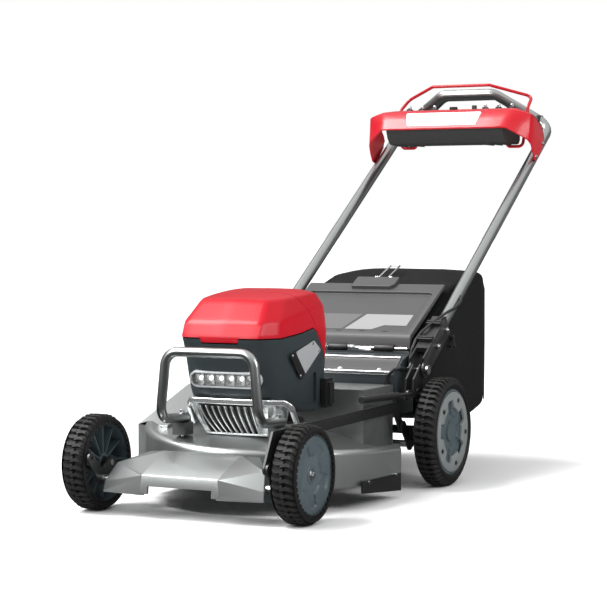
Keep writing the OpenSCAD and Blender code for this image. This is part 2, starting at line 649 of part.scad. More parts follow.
function console(p) = [p[0], console_y + p[1], console_z + p[2]];
front_panel = [[-194, 37, 48], [194, 37, 48], [180, 0, 0], [-180, 0, 0]];
wing = [[194, 37, 48], [180, 0, 0], [212, 40, -30], [232, 84, -84], [250, 103, -28], [240, 98, 18]];
module panel(points) hull() for (p = points) translate(console(p)) sphere(r = 1.5, $fn = 12);
module console_plate() color([0.85, 0.07, 0.15]) difference() {
    union() {
        panel(front_panel);
        panel(wing);
        mirror([1, 0, 0]) panel(wing);
        panel([front_panel[0], front_panel[1], [180, 96, 56], [-180, 96, 56]]);
    }
    bar([handle_x, fold_y, fold_z + 6], corner, tube_d / 2 + 0.2);
    bar([-handle_x, fold_y, fold_z + 6], [-corner[0], corner[1], corner[2]], tube_d / 2 + 0.2);
    translate([0, console_y + 84, console_z + 40]) cylinder(r = 13.4, h = 60);
    translate([60, console_y + 84, console_z + 60]) cube([44, 8.8, 40], center = true);
}
module console_box() color([0.13, 0.13, 0.14]) difference() {
    slab([[console_y + 6, console_z + 2], [console_y + 38, console_z - 46],
        [console_y + 146, console_z - 52], [console_y + 150, console_z + 30],
        [console_y + 94, console_z + 51], [console_y + 44, console_z + 44]], -168, 168);
    translate([0, console_y + 84, console_z + 20]) cylinder(r = 11.4, h = 60);
    translate([60, console_y + 84, console_z + 40]) cube([44, 8.8, 40], center = true);
    for (s = SIDES) mirror([s < 0 ? 1 : 0, 0, 0])
        rod_x(126, 400, bail_axis[0], bail_axis[1], bail_d / 2 + fit);
}
module handle_screws() color("silver") for (s = SIDES) mirror([s < 0 ? 1 : 0, 0, 0]) {
    for (d = [80, 145]) {
        rod_x(foot_out + plate_t, foot_out + plate_t + 4, along(d)[0], along(d)[1], 6);
        rod_x(foot_in - 4, foot_in, along(d)[0], along(d)[1], 6);
    }
}

// ---------- controls ----------
module start_button() color([0.1, 0.1, 0.11]) {
    translate([0, console_y + 84, console_z + 30]) cylinder(r = 11, h = 31);
}
module speed_slider() color([0.08, 0.08, 0.08]) translate([60, console_y + 84, console_z + 32])
    translate([-6, -4, -4]) cube([12, 8, 36]);
module knob(s) color([0.06, 0.06, 0.06]) mirror([s < 0 ? 1 : 0, 0, 0]) {
    k = along(145, -36);
    rod_x(foot_out + plate_t + 1, foot_out + plate_t + 14, k[0], k[1], 9);
    for (a = [90, 210, 330])
        rod_x(foot_out + plate_t + 2, foot_out + plate_t + 13, k[0] + 12 * cos(a),
            k[1] + 12 * sin(a), 7);
}
module bail() color([0.82, 0.05, 0.12]) {
    for (s = SIDES) rod_x(min(s * 127, s * 172), max(s * 127, s * 172), bail_axis[0], bail_axis[1],
        bail_d / 2);
    bent([
    [-160, bail_axis[0], bail_axis[1]], [-176, bail_axis[0], bail_axis[1]],
    [-186, console_y + 157, console_z + 60], [-181, console_y + 204, console_z + 91],
    [-82, console_y + 137, console_z + 121], [82, console_y + 137, console_z + 121],
    [181, console_y + 204, console_z + 91], [186, console_y + 157, console_z + 60],
    [176, bail_axis[0], bail_axis[1]], [160, bail_axis[0], bail_axis[1]]], bail_d / 2, 9);
}
module drive_lever() color("silver") {
    for (s = SIDES) rod_x(min(s * 142, s * 157), max(s * 142, s * 157), lever_axis[0],
        lever_axis[1], 4);
    bent([
    [-150, lever_axis[0], lever_axis[1]], [-172, lever_axis[0], lever_axis[1]],
    [-grip[0], grip[1] + 23, grip[2] - 12], [grip[0], grip[1] + 23, grip[2] - 12],
    [172, lever_axis[0], lever_axis[1]], [150, lever_axis[0], lever_axis[1]]], 4, [5, 30, 30, 5]);
}

// ---------- flap and catcher ----------
module rear_flap() color([0.3, 0.3, 0.31]) difference() {
    union() {
        slab([[hinge_y + 6, hinge_z - 4], [hinge_y + 6, 343], flap_top, flap_top + [3, -8],
            [hinge_y + 18, 334], [hinge_y + 14, hinge_z - 4]], -flap_x, flap_x);
        for (x = [-120, 0, 120]) {
            rod_x(x - 25, x + 25, hinge_y, hinge_z, 9);
            translate([x - 25, hinge_y, hinge_z - 4]) cube([50, 8, 12]);
        }
        slab([flap_top + [-12, -4], flap_top + [-6, 6], flap_top + [14, 4], flap_top + [8, -6]],
            -56, 56);
    }
    rod_x(-300, 300, hinge_y, hinge_z, hinge_r + fit);
}
bag_rear = mouth_y + bag_l;
loop_y = mouth_y + 233;
loop_z = 472;
wire_r = 2.5;
function bag_side(g) = [[mouth_y, throat_z + 2 + g], [mouth_y, 322 - g], [mouth_y + 186, 428 - g],
    [mouth_y + 200, 456 - g], [bag_rear - 110, 493 - g], [bag_rear - 20, 488 - g],
    [bag_rear - g, 470], [bag_rear - g, 150], [bag_rear - 112, 124 + g], [mouth_y + 60, 140 + g]];
module grass_bag() color([0.1, 0.1, 0.11]) difference() {
    union() {
        slab(bag_side(0), -bag_x, bag_x);
        for (s = SIDES) translate([s * 20 - 4, loop_y - 8, loop_z - 14]) cube([8, 16, 20]);
    }
    rod_x(-40, 40, loop_y, loop_z, wire_r + fit);
    slab(concat([[mouth_y - 10, throat_z + 12], [mouth_y - 10, 312]], [for (i = [2:9]) bag_side(bag_wall)[i]]),
        -bag_x + bag_wall, bag_x - bag_wall);
}
module catcher_frame() color([0.16, 0.16, 0.17]) difference() {
    translate([-170, mouth_y - 10, throat_z - 4]) cube([340, 9.6, 136]);
    translate([-158, mouth_y - 20, throat_z + 8]) cube([316, 40, 112]);
}
module carry_handle() color("silver") {
    bent([[-18, loop_y, loop_z], [-12.9, loop_y, loop_z], [-12.6, loop_y + 74, loop_z + 28],
        [12.6, loop_y + 74, loop_z + 28], [12.9, loop_y, loop_z], [18, loop_y, loop_z]], wire_r, 3);
    for (s = SIDES) rod_x(min(s * 13, s * 24), max(s * 13, s * 24), loop_y, loop_z, wire_r);
}

place() deck();
place() deck_trim();
place() front_apron();
place() bull_bar();
place() bull_bar_clamps();
place() motor_cowl();
place() body_housing();
place() top_cover();
place() headlight();
place() cable_block();
place() battery_bay();
place() controller();
place() motor();
place() rear_bulkhead();
place() flap_hinge_rod();
place() handle_lugs();
place() fold_bolts();
place() chassis_screws();
place() harness();
place() blade();
place() spindle();
place() blade_bolt();
place() front_axle();
place() front_cranks();
place() front_tyre(-1);  // front_tyre_left
place() front_rim(-1);  // front_rim_left
place() front_cap(-1);  // front_disc_left
place() front_tyre(1);  // front_tyre_right
place() front_rim(1);  // front_rim_right
place() front_cap(1);  // front_disc_right
place() rear_axle();
place() rear_cranks();
place() drive_unit();
place() rear_tyre(-1);  // rear_tyre_left
place() rear_rim(-1);  // rear_rim_left
place() rear_plate(-1);  // rear_ring_left
place() rear_tyre(1);  // rear_tyre_right
place() rear_rim(1);  // rear_rim_right
place() rear_plate(1);  // rear_ring_right
place() height_link();
place() height_lever();
place() lever_grip();
place() handle_tube();
place() handle_feet();
place() console_plate();
place() console_box();
place() handle_screws();
place() handle_cable();
place() knob(-1);  // knob_left
place() knob(1);  // knob_right
place() bail();
place() drive_lever();
place() start_button();
place() speed_slider();
place() rear_flap();
place() grass_bag();
place() catcher_frame();
place() carry_handle();
place() battery_lid();
place() battery_pack();
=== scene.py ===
"""A cordless rotary lawn mower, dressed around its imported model.

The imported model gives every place: lengths here are millimetres from the middle of the front axle,
at ground level, with +Y towards the operator, and Datum turns them into the frame's metres.
"""
from __future__ import annotations

import json
import logging
import math
from dataclasses import dataclass
from enum import Enum
from typing import Callable, Iterable, Sequence

import bmesh
import bpy
from mathutils import Matrix, Vector, noise

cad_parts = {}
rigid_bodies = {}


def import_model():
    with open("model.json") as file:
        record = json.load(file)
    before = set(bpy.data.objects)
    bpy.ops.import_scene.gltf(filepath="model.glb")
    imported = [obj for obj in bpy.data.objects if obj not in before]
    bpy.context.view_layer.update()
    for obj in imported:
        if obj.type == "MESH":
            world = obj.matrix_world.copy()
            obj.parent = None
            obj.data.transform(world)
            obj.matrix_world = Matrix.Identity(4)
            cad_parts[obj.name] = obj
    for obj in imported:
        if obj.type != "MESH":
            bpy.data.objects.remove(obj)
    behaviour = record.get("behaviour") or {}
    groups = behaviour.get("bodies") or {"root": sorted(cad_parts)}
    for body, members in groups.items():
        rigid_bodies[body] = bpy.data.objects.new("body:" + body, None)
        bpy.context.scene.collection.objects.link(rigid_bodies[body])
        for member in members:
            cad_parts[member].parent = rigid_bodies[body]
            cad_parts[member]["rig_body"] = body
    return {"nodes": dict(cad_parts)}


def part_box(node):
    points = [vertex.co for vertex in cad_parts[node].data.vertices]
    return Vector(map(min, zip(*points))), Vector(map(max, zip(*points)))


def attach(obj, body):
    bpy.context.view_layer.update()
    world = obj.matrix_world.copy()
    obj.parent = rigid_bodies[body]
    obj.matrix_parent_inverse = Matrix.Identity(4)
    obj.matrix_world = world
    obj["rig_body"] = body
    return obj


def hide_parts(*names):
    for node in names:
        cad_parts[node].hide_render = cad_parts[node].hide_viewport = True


log = logging.getLogger("mower")
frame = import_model()
MM = 0.001
X_AXIS = Vector((1.0, 0.0, 0.0))
Ring = list[Vector]


# ---------- places ----------
@dataclass(frozen=True)
class Datum:
    """Where the front axle stands in the frame."""

    axle_y: float

    @classmethod
    def from_frame(cls) -> "Datum":
        """Read the front axle's place off the right front tyre."""
        low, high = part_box("front_tyre_right")
        return cls(axle_y=(low.y + high.y) / 2)

    def at(self, x: float, y: float, z: float) -> Vector:
        """Turn a place in millimetres behind the front axle into the frame's metres."""
        return Vector((x * MM, self.axle_y + y * MM, z * MM))

    def back(self, point: Vector) -> Vector:
        """Turn a place in the frame into millimetres behind the front axle."""
        return Vector((point.x / MM, (point.y - self.axle_y) / MM, point.z / MM))


# ---------- finishes ----------
class Pattern(Enum):
    """What a surface's fine relief is made of."""

    CAST = "cast"
    MOULDED = "moulded"
    BRUSHED = "brushed"
    WOVEN = "woven"


def new_group(name: str, inputs: dict[str, float], outputs: Sequence[str]) -> bpy.types.NodeTree:
    """Start a shader node group with float inputs and outputs.

    Args:
        name: The group's name.
        inputs: Each input's name and default value.
        outputs: The names of the outputs.

    Returns:
        The group, with its input and output nodes in place.
    """
    tree = bpy.data.node_groups.new(name, "ShaderNodeTree")
    for label, value in inputs.items():
        socket = tree.interface.new_socket(label, in_out="INPUT", socket_type="NodeSocketFloat")
        socket.default_value = value
    for label in outputs:
        tree.interface.new_socket(label, in_out="OUTPUT", socket_type="NodeSocketFloat")
    tree.nodes.new("NodeGroupInput").name = "in"
    tree.nodes.new("NodeGroupOutput").name = "out"
    return tree


def maths(tree: bpy.types.NodeTree, kind: str, *values: object, clamp: bool = False) -> bpy.types.NodeSocket:
    """Add a maths node whose inputs are numbers or sockets, and return its output."""
    node = tree.nodes.new("ShaderNodeMath")
    node.operation = kind
    node.use_clamp = clamp
    for slot, value in zip(node.inputs, values):
        if isinstance(value, (int, float)):
            slot.default_value = value
        else:
            tree.links.new(value, slot)
    return node.outputs[0]


class Groups:
    """The effects that more than one finish uses, each built once."""

    def __init__(self) -> None:
        """Build every group."""
        self.relief = {kind: getattr(self, "make_" + kind.value)() for kind in Pattern}
        self.edge_highlight = self.make_edge_highlight()

    @staticmethod
    def noise(tree: bpy.types.NodeTree, scale: object, detail: float, stretch: tuple[float, float, float]
              = (1.0, 1.0, 1.0)) -> bpy.types.NodeSocket:
        """Add noise on object coordinates, stretched along its axes."""
        place = tree.nodes.new("ShaderNodeTexCoord")
        mapping = tree.nodes.new("ShaderNodeMapping")
        mapping.inputs["Scale"].default_value = stretch
        texture = tree.nodes.new("ShaderNodeTexNoise")
        texture.inputs["Detail"].default_value = detail
        tree.links.new(place.outputs["Object"], mapping.inputs["Vector"])
        tree.links.new(mapping.outputs["Vector"], texture.inputs["Vector"])
        if isinstance(scale, (int, float)):
            texture.inputs["Scale"].default_value = scale
        else:
            tree.links.new(scale, texture.inputs["Scale"])
        return texture.outputs["Fac"]

    def make_cast(self) -> bpy.types.NodeTree:
        """Build the pebbled skin of a lacquered casting."""
        tree = new_group("cast_skin", {"Scale": 500.0, "Contrast": 0.1}, ("Tone", "Height"))
        given = tree.nodes["in"].outputs
        fine = self.noise(tree, given["Scale"], 3.0)
        broad = self.noise(tree, 9.0, 2.0)
        self.join(tree, fine, broad)
        return tree

    def make_moulded(self) -> bpy.types.NodeTree:
        """Build the even grain of moulded plastic."""
        tree = new_group("mould_grain", {"Scale": 1500.0, "Contrast": 0.05}, ("Tone", "Height"))
        given = tree.nodes["in"].outputs
        place = tree.nodes.new("ShaderNodeTexCoord")
        cells = tree.nodes.new("ShaderNodeTexVoronoi")
        cells.feature = "SMOOTH_F1"
        tree.links.new(place.outputs["Object"], cells.inputs["Vector"])
        tree.links.new(given["Scale"], cells.inputs["Scale"])
        self.join(tree, cells.outputs["Distance"], self.noise(tree, 14.0, 2.0))
        return tree

    def make_brushed(self) -> bpy.types.NodeTree:
        """Build fine drawn lines, as on a tube or a rolled bar."""
        tree = new_group("drawn_lines", {"Scale": 900.0, "Contrast": 0.08}, ("Tone", "Height"))
        given = tree.nodes["in"].outputs
        fine = self.noise(tree, given["Scale"], 2.0, (1.0, 0.06, 1.0))
        self.join(tree, fine, self.noise(tree, 20.0, 2.0))
        return tree

    def make_woven(self) -> bpy.types.NodeTree:
        """Build a plain weave that runs along the object's own axes."""
        tree = new_group("plain_weave", {"Scale": 900.0, "Contrast": 0.2}, ("Tone", "Height"))
        given = tree.nodes["in"].outputs
        place = tree.nodes.new("ShaderNodeTexCoord")
        parts = tree.nodes.new("ShaderNodeSeparateXYZ")
        tree.links.new(place.outputs["Object"], parts.inputs[0])
        across = maths(tree, "ADD", parts.outputs["X"], parts.outputs["Y"])
        warp = maths(tree, "SINE", maths(tree, "MULTIPLY", across, given["Scale"]))
        weft = maths(tree, "SINE", maths(tree, "MULTIPLY", parts.outputs["Z"], given["Scale"]))
        cross = maths(tree, "MULTIPLY", warp, weft)
        self.join(tree, maths(tree, "MULTIPLY_ADD", cross, 0.5, 0.5), self.noise(tree, 11.0, 3.0))
        return tree

    @staticmethod
    def join(tree: bpy.types.NodeTree, fine: bpy.types.NodeSocket, broad: bpy.types.NodeSocket) -> None:
        """Lead the fine relief to Height and both reliefs, about one, to Tone."""
        given = tree.nodes["in"].outputs
        both = maths(tree, "ADD", maths(tree, "MULTIPLY", fine, 0.4), broad)
        swing = maths(tree, "MULTIPLY", maths(tree, "SUBTRACT", both, 0.7), given["Contrast"])
        tree.links.new(maths(tree, "ADD", swing, 1.0), tree.nodes["out"].inputs["Tone"])
        tree.links.new(fine, tree.nodes["out"].inputs["Height"])

    def make_edge_highlight(self) -> bpy.types.NodeTree:
        """Build a mask that is one along outer edges, broken by noise, for the painted highlight that lightens
        them.
        """
        tree = new_group("painted_edge_highlight", {"Amount": 0.5}, ("Mask",))
        shape = tree.nodes.new("ShaderNodeNewGeometry")
        edge = maths(tree, "MULTIPLY", maths(tree, "SUBTRACT", shape.outputs["Pointiness"], 0.53), 9.0,
                     clamp=True)
        broken = maths(tree, "MULTIPLY", edge, self.noise(tree, 60.0, 4.0))
        amount = maths(tree, "MULTIPLY", broken, tree.nodes["in"].outputs["Amount"], clamp=True)
        tree.links.new(amount, tree.nodes["out"].inputs["Mask"])
        return tree


@dataclass(frozen=True)
class Finish:
    """How one finish looks: colour, gloss, fine relief and a painted highlight along its outer edges."""

    name: str
    slot: str
    colour: tuple[float, float, float]
    rough: float = 0.5
    metal: float = 0.0
    coat: float = 0.0
    pattern: Pattern = Pattern.MOULDED
    scale: float = 1500.0
    contrast: float = 0.12
    relief: float = 0.08
    # A painted highlight: how strongly the outer edges are lightened, and the colour they are lightened to.
    edge_highlight: float = 0.3
    highlight_colour: tuple[float, float, float] | None = None
    sheen: float = 0.0
    glow: float = 0.0
    shine: float = 0.5

    def build(self, groups: Groups) -> bpy.types.Material:
        """Make the finish as a node material.

        Args:
            groups: The shared node groups.

        Returns:
            The finished material.
        """
        material = bpy.data.materials.new(self.name)
        material.use_nodes = True
        tree = material.node_tree
        shader = tree.nodes["Principled BSDF"]
        shader.inputs["Metallic"].default_value = self.metal
        shader.inputs["Coat Weight"].default_value = self.coat
        shader.inputs["Coat Roughness"].default_value = 0.08
        shader.inputs["Sheen Weight"].default_value = self.sheen
        shader.inputs["Specular IOR Level"].default_value = self.shine
        relief = tree.nodes.new("ShaderNodeGroup")
        relief.node_tree = groups.relief[self.pattern]
        relief.inputs["Scale"].default_value = self.scale
        relief.inputs["Contrast"].default_value = self.contrast
        # Outer edges are mixed towards a lighter colour: a painted highlight.
        edge_highlight = tree.nodes.new("ShaderNodeGroup")
        edge_highlight.node_tree = groups.edge_highlight
        edge_highlight.inputs["Amount"].default_value = self.edge_highlight
        toned = self.mix(tree, "MULTIPLY", 1.0, self.colour, relief.outputs["Tone"])
        # Without a given colour, the painted highlight is the finish's own colour made lighter.
        highlight_colour = self.highlight_colour or tuple(min(1.0, 1.35 * c + 0.03) for c in self.colour)
        edged = self.mix(tree, "MIX", edge_highlight.outputs["Mask"], toned, highlight_colour)
        tree.links.new(edged, shader.inputs["Base Color"])
        rough = maths(tree, "MULTIPLY", relief.outputs["Tone"], self.rough, clamp=True)
        tree.links.new(rough, shader.inputs["Roughness"])
        bump = tree.nodes.new("ShaderNodeBump")
        bump.inputs["Strength"].default_value = self.relief
        bump.inputs["Distance"].default_value = 0.0004
        tree.links.new(relief.outputs["Height"], bump.inputs["Height"])
        tree.links.new(bump.outputs["Normal"], shader.inputs["Normal"])
        if self.glow:
            shader.inputs["Emission Color"].default_value = (*self.colour, 1.0)
            shader.inputs["Emission Strength"].default_value = self.glow
        return material

    @staticmethod
    def mix(tree: bpy.types.NodeTree, blend: str, factor: object, first: object, second: object
            ) -> bpy.types.NodeSocket:
        """Add a colour mix node whose inputs are colours or sockets, and return its output."""
        node = tree.nodes.new("ShaderNodeMix")
        node.data_type = "RGBA"
        node.blend_type = blend
        for slot, value in ((node.inputs[0], factor), (node.inputs[6], first), (node.inputs[7], second)):
            if isinstance(value, bpy.types.NodeSocket):
                tree.links.new(value, slot)
            elif isinstance(value, tuple):
                slot.default_value = (*value, 1.0)
            else:
                slot.default_value = value
        return node.outputs[2]


@dataclass(frozen=True)
class ClearCover:
    """A clear polycarbonate cover."""

    name: str = "clear_cover"
    slot: str = "lens"

    def build(self, groups: Groups) -> bpy.types.Material:
        """Make the clear cover as a node material."""
        material = bpy.data.materials.new(self.name)
        material.use_nodes = True
        shader = material.node_tree.nodes["Principled BSDF"]
        shader.inputs["Base Color"].default_value = (1.0, 1.0, 1.0, 1.0)
        shader.inputs["Roughness"].default_value = 0.03
        shader.inputs["Transmission Weight"].default_value = 1.0
        shader.inputs["IOR"].default_value = 1.45
        return material


class Paint(Enum):
    """Every finish on the mower."""

    # After the relief settings come the strength of the painted highlight on outer edges, then the lighter
    # colour it paints.
    CASTING = Finish("lacquered_casting", "cast_silver", (0.42, 0.44, 0.435), 0.30, 0.85, 0.15, Pattern.CAST,
                     700.0, 0.10, 0.10, 0.5, (0.75, 0.77, 0.76))
    COWL = Finish("bright_casting", "cast_silver", (0.68, 0.70, 0.70), 0.24, 0.85, 0.1, Pattern.CAST,
                  900.0, 0.10, 0.08, 0.5, (0.9, 0.9, 0.9))
    TUBE = Finish("satin_tube", "tube_silver", (0.44, 0.46, 0.455), 0.28, 1.0, 0.0, Pattern.BRUSHED,
                  1400.0, 0.08, 0.04, 0.2)
    ZINC = Finish("zinc_plate", "bright_metal", (0.72, 0.73, 0.74), 0.25, 1.0, 0.0, Pattern.BRUSHED,
                  1200.0, 0.12, 0.05, 0.4)
    RED_SHELL = Finish("red_shell", "red_plastic", (0.44, 0.0015, 0.011), 0.33, 0.0, 0.05, Pattern.MOULDED,
                       2600.0, 0.05, 0.03, 0.15, (0.9, 0.10, 0.13), shine=0.25)
    RED_STEEL = Finish("red_powder_coat", "red_metal", (0.46, 0.0015, 0.011), 0.30, 0.0, 0.15, Pattern.CAST,
                       1200.0, 0.05, 0.05, 0.2, (0.9, 0.14, 0.16), shine=0.4)
    SLATE = Finish("slate_shell", "slate_plastic", (0.026, 0.036, 0.040), 0.45, 0.0, 0.0, Pattern.MOULDED,
                   1700.0, 0.16, 0.12, 0.3, (0.12, 0.14, 0.15))
    BLACK = Finish("black_moulding", "black_plastic", (0.008, 0.008, 0.0085), 0.42, 0.0, 0.0,
                   Pattern.MOULDED, 1700.0, 0.2, 0.12, 0.3, (0.06, 0.06, 0.06))
    GREY = Finish("grey_moulding", "grey_plastic", (0.062, 0.062, 0.063), 0.48, 0.0, 0.0, Pattern.MOULDED,
                  1500.0, 0.14, 0.12, 0.3)
    BLACK_STEEL = Finish("black_powder_coat", "black_steel", (0.012, 0.012, 0.012), 0.36, 0.0, 0.2,
                         Pattern.CAST, 1500.0, 0.2, 0.08, 0.4, (0.09, 0.09, 0.09))
    BLADE = Finish("ground_steel", "blade_steel", (0.22, 0.22, 0.23), 0.36, 1.0, 0.0, Pattern.BRUSHED,
                   700.0, 0.3, 0.12, 0.8, (0.6, 0.6, 0.6))
    TYRE = Finish("tyre_rubber", "tyre_rubber", (0.008, 0.008, 0.008), 0.58, 0.0, 0.0, Pattern.CAST,
                  900.0, 0.3, 0.15, 0.5, (0.05, 0.05, 0.048), shine=0.25)
    WHEEL_SLATE = Finish("wheel_slate", "wheel_slate", (0.062, 0.085, 0.095), 0.42, 0.0, 0.1,
                         Pattern.MOULDED, 1600.0, 0.12, 0.08, 0.4, (0.16, 0.2, 0.21))
    WHEEL_SILVER = Finish("wheel_silver", "wheel_silver", (0.25, 0.27, 0.27), 0.40, 0.35, 0.1,
                          Pattern.CAST, 1500.0, 0.10, 0.08, 0.3)
    REFLECTOR = Finish("lamp_reflector", "bright_metal", (0.36, 0.37, 0.37), 0.34, 0.9, 0.0,
                       Pattern.CAST, 900.0, 0.04, 0.02, 0.0)
    LAMP = Finish("lamp_chip", "lens", (1.0, 0.99, 0.96), 0.3, 0.0, 0.0, glow=1.3)
    BEZEL = Finish("lamp_bezel", "lens", (0.42, 0.44, 0.45), 0.35, 0.0, 0.2)
    CLEAR = ClearCover()
    CIRCUIT = Finish("circuit_board", "circuit", (0.01, 0.12, 0.05), 0.35, 0.0, 0.4)
    CHARCOAL = Finish("charcoal_moulding", "black_plastic", (0.035, 0.035, 0.036), 0.50, shine=0.3)
    FABRIC = Finish("bag_cloth", "bag_fabric", (0.007, 0.007, 0.0075), 0.80, 0.0, 0.0, Pattern.WOVEN,
                    3200.0, 0.35, 0.35, 0.2, (0.03, 0.03, 0.03), 0.02, shine=0.12)
    CABLE = Finish("cable_sheath", "cable_rubber", (0.010, 0.010, 0.010), 0.45, 0.0, 0.0)
    PLATE = Finish("blank_plate", "tube_silver", (0.46, 0.47, 0.48), 0.30, 0.35, 0.1, Pattern.BRUSHED,
                   1500.0, 0.05, 0.03, 0.1)
    LABEL = Finish("blank_label", "grey_plastic", (0.30, 0.30, 0.30), 0.40, 0.0, 0.1, Pattern.MOULDED,
                   2000.0, 0.05, 0.03, 0.0)
    GREY_LABEL = Finish("grey_label", "grey_plastic", (0.12, 0.12, 0.12), 0.40, 0.0, 0.1, Pattern.MOULDED,
                        2000.0, 0.05, 0.03, 0.0)


class Palette:
    """Hands out each paint's material, made once."""

    def __init__(self) -> None:
        """Build every paint."""
        groups = Groups()
        self.made = {paint: paint.value.build(groups) for paint in Paint}

    def dress(self, piece: bpy.types.Object, paint: Paint) -> None:
        """Give a piece one paint all over."""
        piece.data.materials.clear()
        piece.data.materials.append(self.made[paint])


palette = Palette()


# ---------- shapes ----------
def skin(rings: Sequence[Ring], caps: bool = True, loop: bool = False) -> bmesh.types.BMesh:
    """Stretch a surface over rings of points, from the first to the last.

    Args:
        rings: Rings with the same number of points, in matching order.
        caps: Whether the first and last rings are filled.
        loop: Whether the last ring is joined to the first.

    Returns:
        A new mesh.
    """
    bm = bmesh.new()
    made = bmesh.ops.create_circle(bm, cap_ends=caps and not loop, segments=len(rings[0]), radius=1.0)
    row = made["verts"]
    first = list(bm.edges)
    edges = first
    for vert, point in zip(row, rings[0]):
        vert.co = point
    for ring in rings[1:]:
        grown = bmesh.ops.extrude_edge_only(bm, edges=edges)["geom"]
        edges = [g for g in grown if isinstance(g, bmesh.types.BMEdge)]
        fresh = {g for g in grown if isinstance(g, bmesh.types.BMVert)}
        row = [next(e.other_vert(v) for e in v.link_edges if e.other_vert(v) in fresh) for v in row]
        for vert, point in zip(row, ring):
            vert.co = point
    if loop:
        bmesh.ops.bridge_loops(bm, edges=first + edges)
    elif caps:
        bmesh.ops.contextual_create(bm, geom=edges)
    return bm


def unite(parts: Iterable[bmesh.types.BMesh]) -> bmesh.types.BMesh:
    """Put several meshes into one, freeing them."""
    whole = bmesh.new()
    scratch = bpy.data.meshes.new("scratch")
    for part in parts:
        part.to_mesh(scratch)
        whole.from_mesh(scratch)
        part.free()
    bpy.data.meshes.remove(scratch)
    return whole


def rounded(points: Sequence[Vector], elbow: float, steps: int = 7, closed: bool = False) -> Ring:
    """Round the corners of a path.

    Args:
        points: The corners.
        elbow: The bend radius, less where a straight is too short for it.
        steps: Points on each bend.
        closed: Whether the path comes back to its start.

    Returns:
        The rounded path.
    """
    count = len(points)
    path: Ring = []
    for i, corner in enumerate(points):
        if not closed and i in (0, count - 1):
            path.append(corner.copy())
            continue
        before, after = points[i - 1] - corner, points[(i + 1) % count] - corner
        half = before.angle(after) / 2
        if half > math.radians(89.5):
            path.append(corner.copy())
            continue
        reach = min(elbow / math.tan(half), 0.49 * before.length, 0.49 * after.length)
        start, end = corner + before.normalized() * reach, corner + after.normalized() * reach
        radius = reach * math.tan(half)
        middle = corner + (before.normalized() + after.normalized()).normalized() * radius / math.sin(half)
        for k in range(steps):
            share = k / (steps - 1)
            arm = (start - middle).slerp(end - middle, share)
            path.append(middle + arm.normalized() * radius)
    return path


def tube(path: Sequence[Vector], radius: float, sides: int = 20) -> bmesh.types.BMesh:
    """Sweep a round section along a path, without twist."""
    rings: list[Ring] = []
    heading = (path[1] - path[0]).normalized()
    side = heading.orthogonal().normalized()
    for i, point in enumerate(path):
        ahead = path[min(i + 1, len(path) - 1)] - point
        behind = point - path[max(i - 1, 0)]
        turned = ((ahead.normalized() if ahead.length else Vector())
                  + (behind.normalized() if behind.length else Vector())).normalized()
        side = (heading.rotation_difference(turned) @ side).normalized()
        heading = turned
        up = heading.cross(side)
        angles = [math.tau * k / sides for k in range(sides)]
        rings.append([point + (side * math.cos(a) + up * math.sin(a)) * radius for a in angles])
    return skin(rings)


def plate(outline: Sequence[Vector], thickness: Vector) -> bmesh.types.BMesh:
    """Give a flat outline a thickness along a vector."""
    return skin([list(outline), [p + thickness for p in outline]])


def lathe(profile: Sequence[tuple[float, float]], centre: Vector, axis: Vector, steps: int = 64,
          ) -> bmesh.types.BMesh:
    """Turn a closed profile of (along, radius) points about an axis through a centre."""
    bm = bmesh.new()
    side = axis.orthogonal().normalized()
    verts = [bm.verts.new(centre + axis * a + side * r) for a, r in profile]
    edges = [bm.edges.new((verts[i - 1], verts[i])) for i in range(len(verts))]
    bmesh.ops.spin(bm, geom=verts + edges, cent=centre, axis=axis, angle=math.tau, steps=steps,
                   use_merge=True)
    bmesh.ops.remove_doubles(bm, verts=bm.verts, dist=1e-6)
    return bm


def carve(bm: bmesh.types.BMesh, tool: bmesh.types.BMesh, how: str) -> bmesh.types.BMesh:
    """Cut one closed mesh with another, freeing both.

    Args:
        bm: The mesh that is cut.
        tool: The mesh that cuts it.
        how: INTERSECT, DIFFERENCE or UNION.

    Returns:
        The result.
    """
    things = []
    for part in (bm, tool):
        bmesh.ops.recalc_face_normals(part, faces=part.faces)
        mesh = bpy.data.meshes.new("blank")
        part.to_mesh(mesh)
        part.free()
        thing = bpy.data.objects.new("blank", mesh)
        bpy.context.scene.collection.objects.link(thing)
        things.append(thing)
    cut = things[0].modifiers.new("cut", "BOOLEAN")
    cut.object, cut.operation, cut.solver = things[1], how, "EXACT"
    result = bmesh.new()
    result.from_mesh(things[0].evaluated_get(bpy.context.evaluated_depsgraph_get()).data)
    for thing in things:
        mesh = thing.data
        bpy.data.objects.remove(thing)
        bpy.data.meshes.remove(mesh)
    return result


def smoothed(bm: bmesh.types.BMesh, levels: int) -> bmesh.types.BMesh:
    """Subdivide a cage into a smooth mesh, freeing the cage."""
    mesh = bpy.data.meshes.new("cage")
    bm.to_mesh(mesh)
    bm.free()
    thing = bpy.data.objects.new("cage", mesh)
    bpy.context.scene.collection.objects.link(thing)
    thing.modifiers.new("smooth", "SUBSURF").levels = levels
    result = bmesh.new()
    result.from_mesh(thing.evaluated_get(bpy.context.evaluated_depsgraph_get()).data)
    bpy.data.objects.remove(thing)
    bpy.data.meshes.remove(mesh)
    return result


def crease(bm: bmesh.types.BMesh, near: Callable[[Vector, Vector], float]) -> None:
    """Set each edge's crease by a function of its two ends."""
    layer = bm.edges.layers.float.new("crease_edge")
    for edge in bm.edges:
        edge[layer] = near(edge.verts[0].co, edge.verts[1].co)


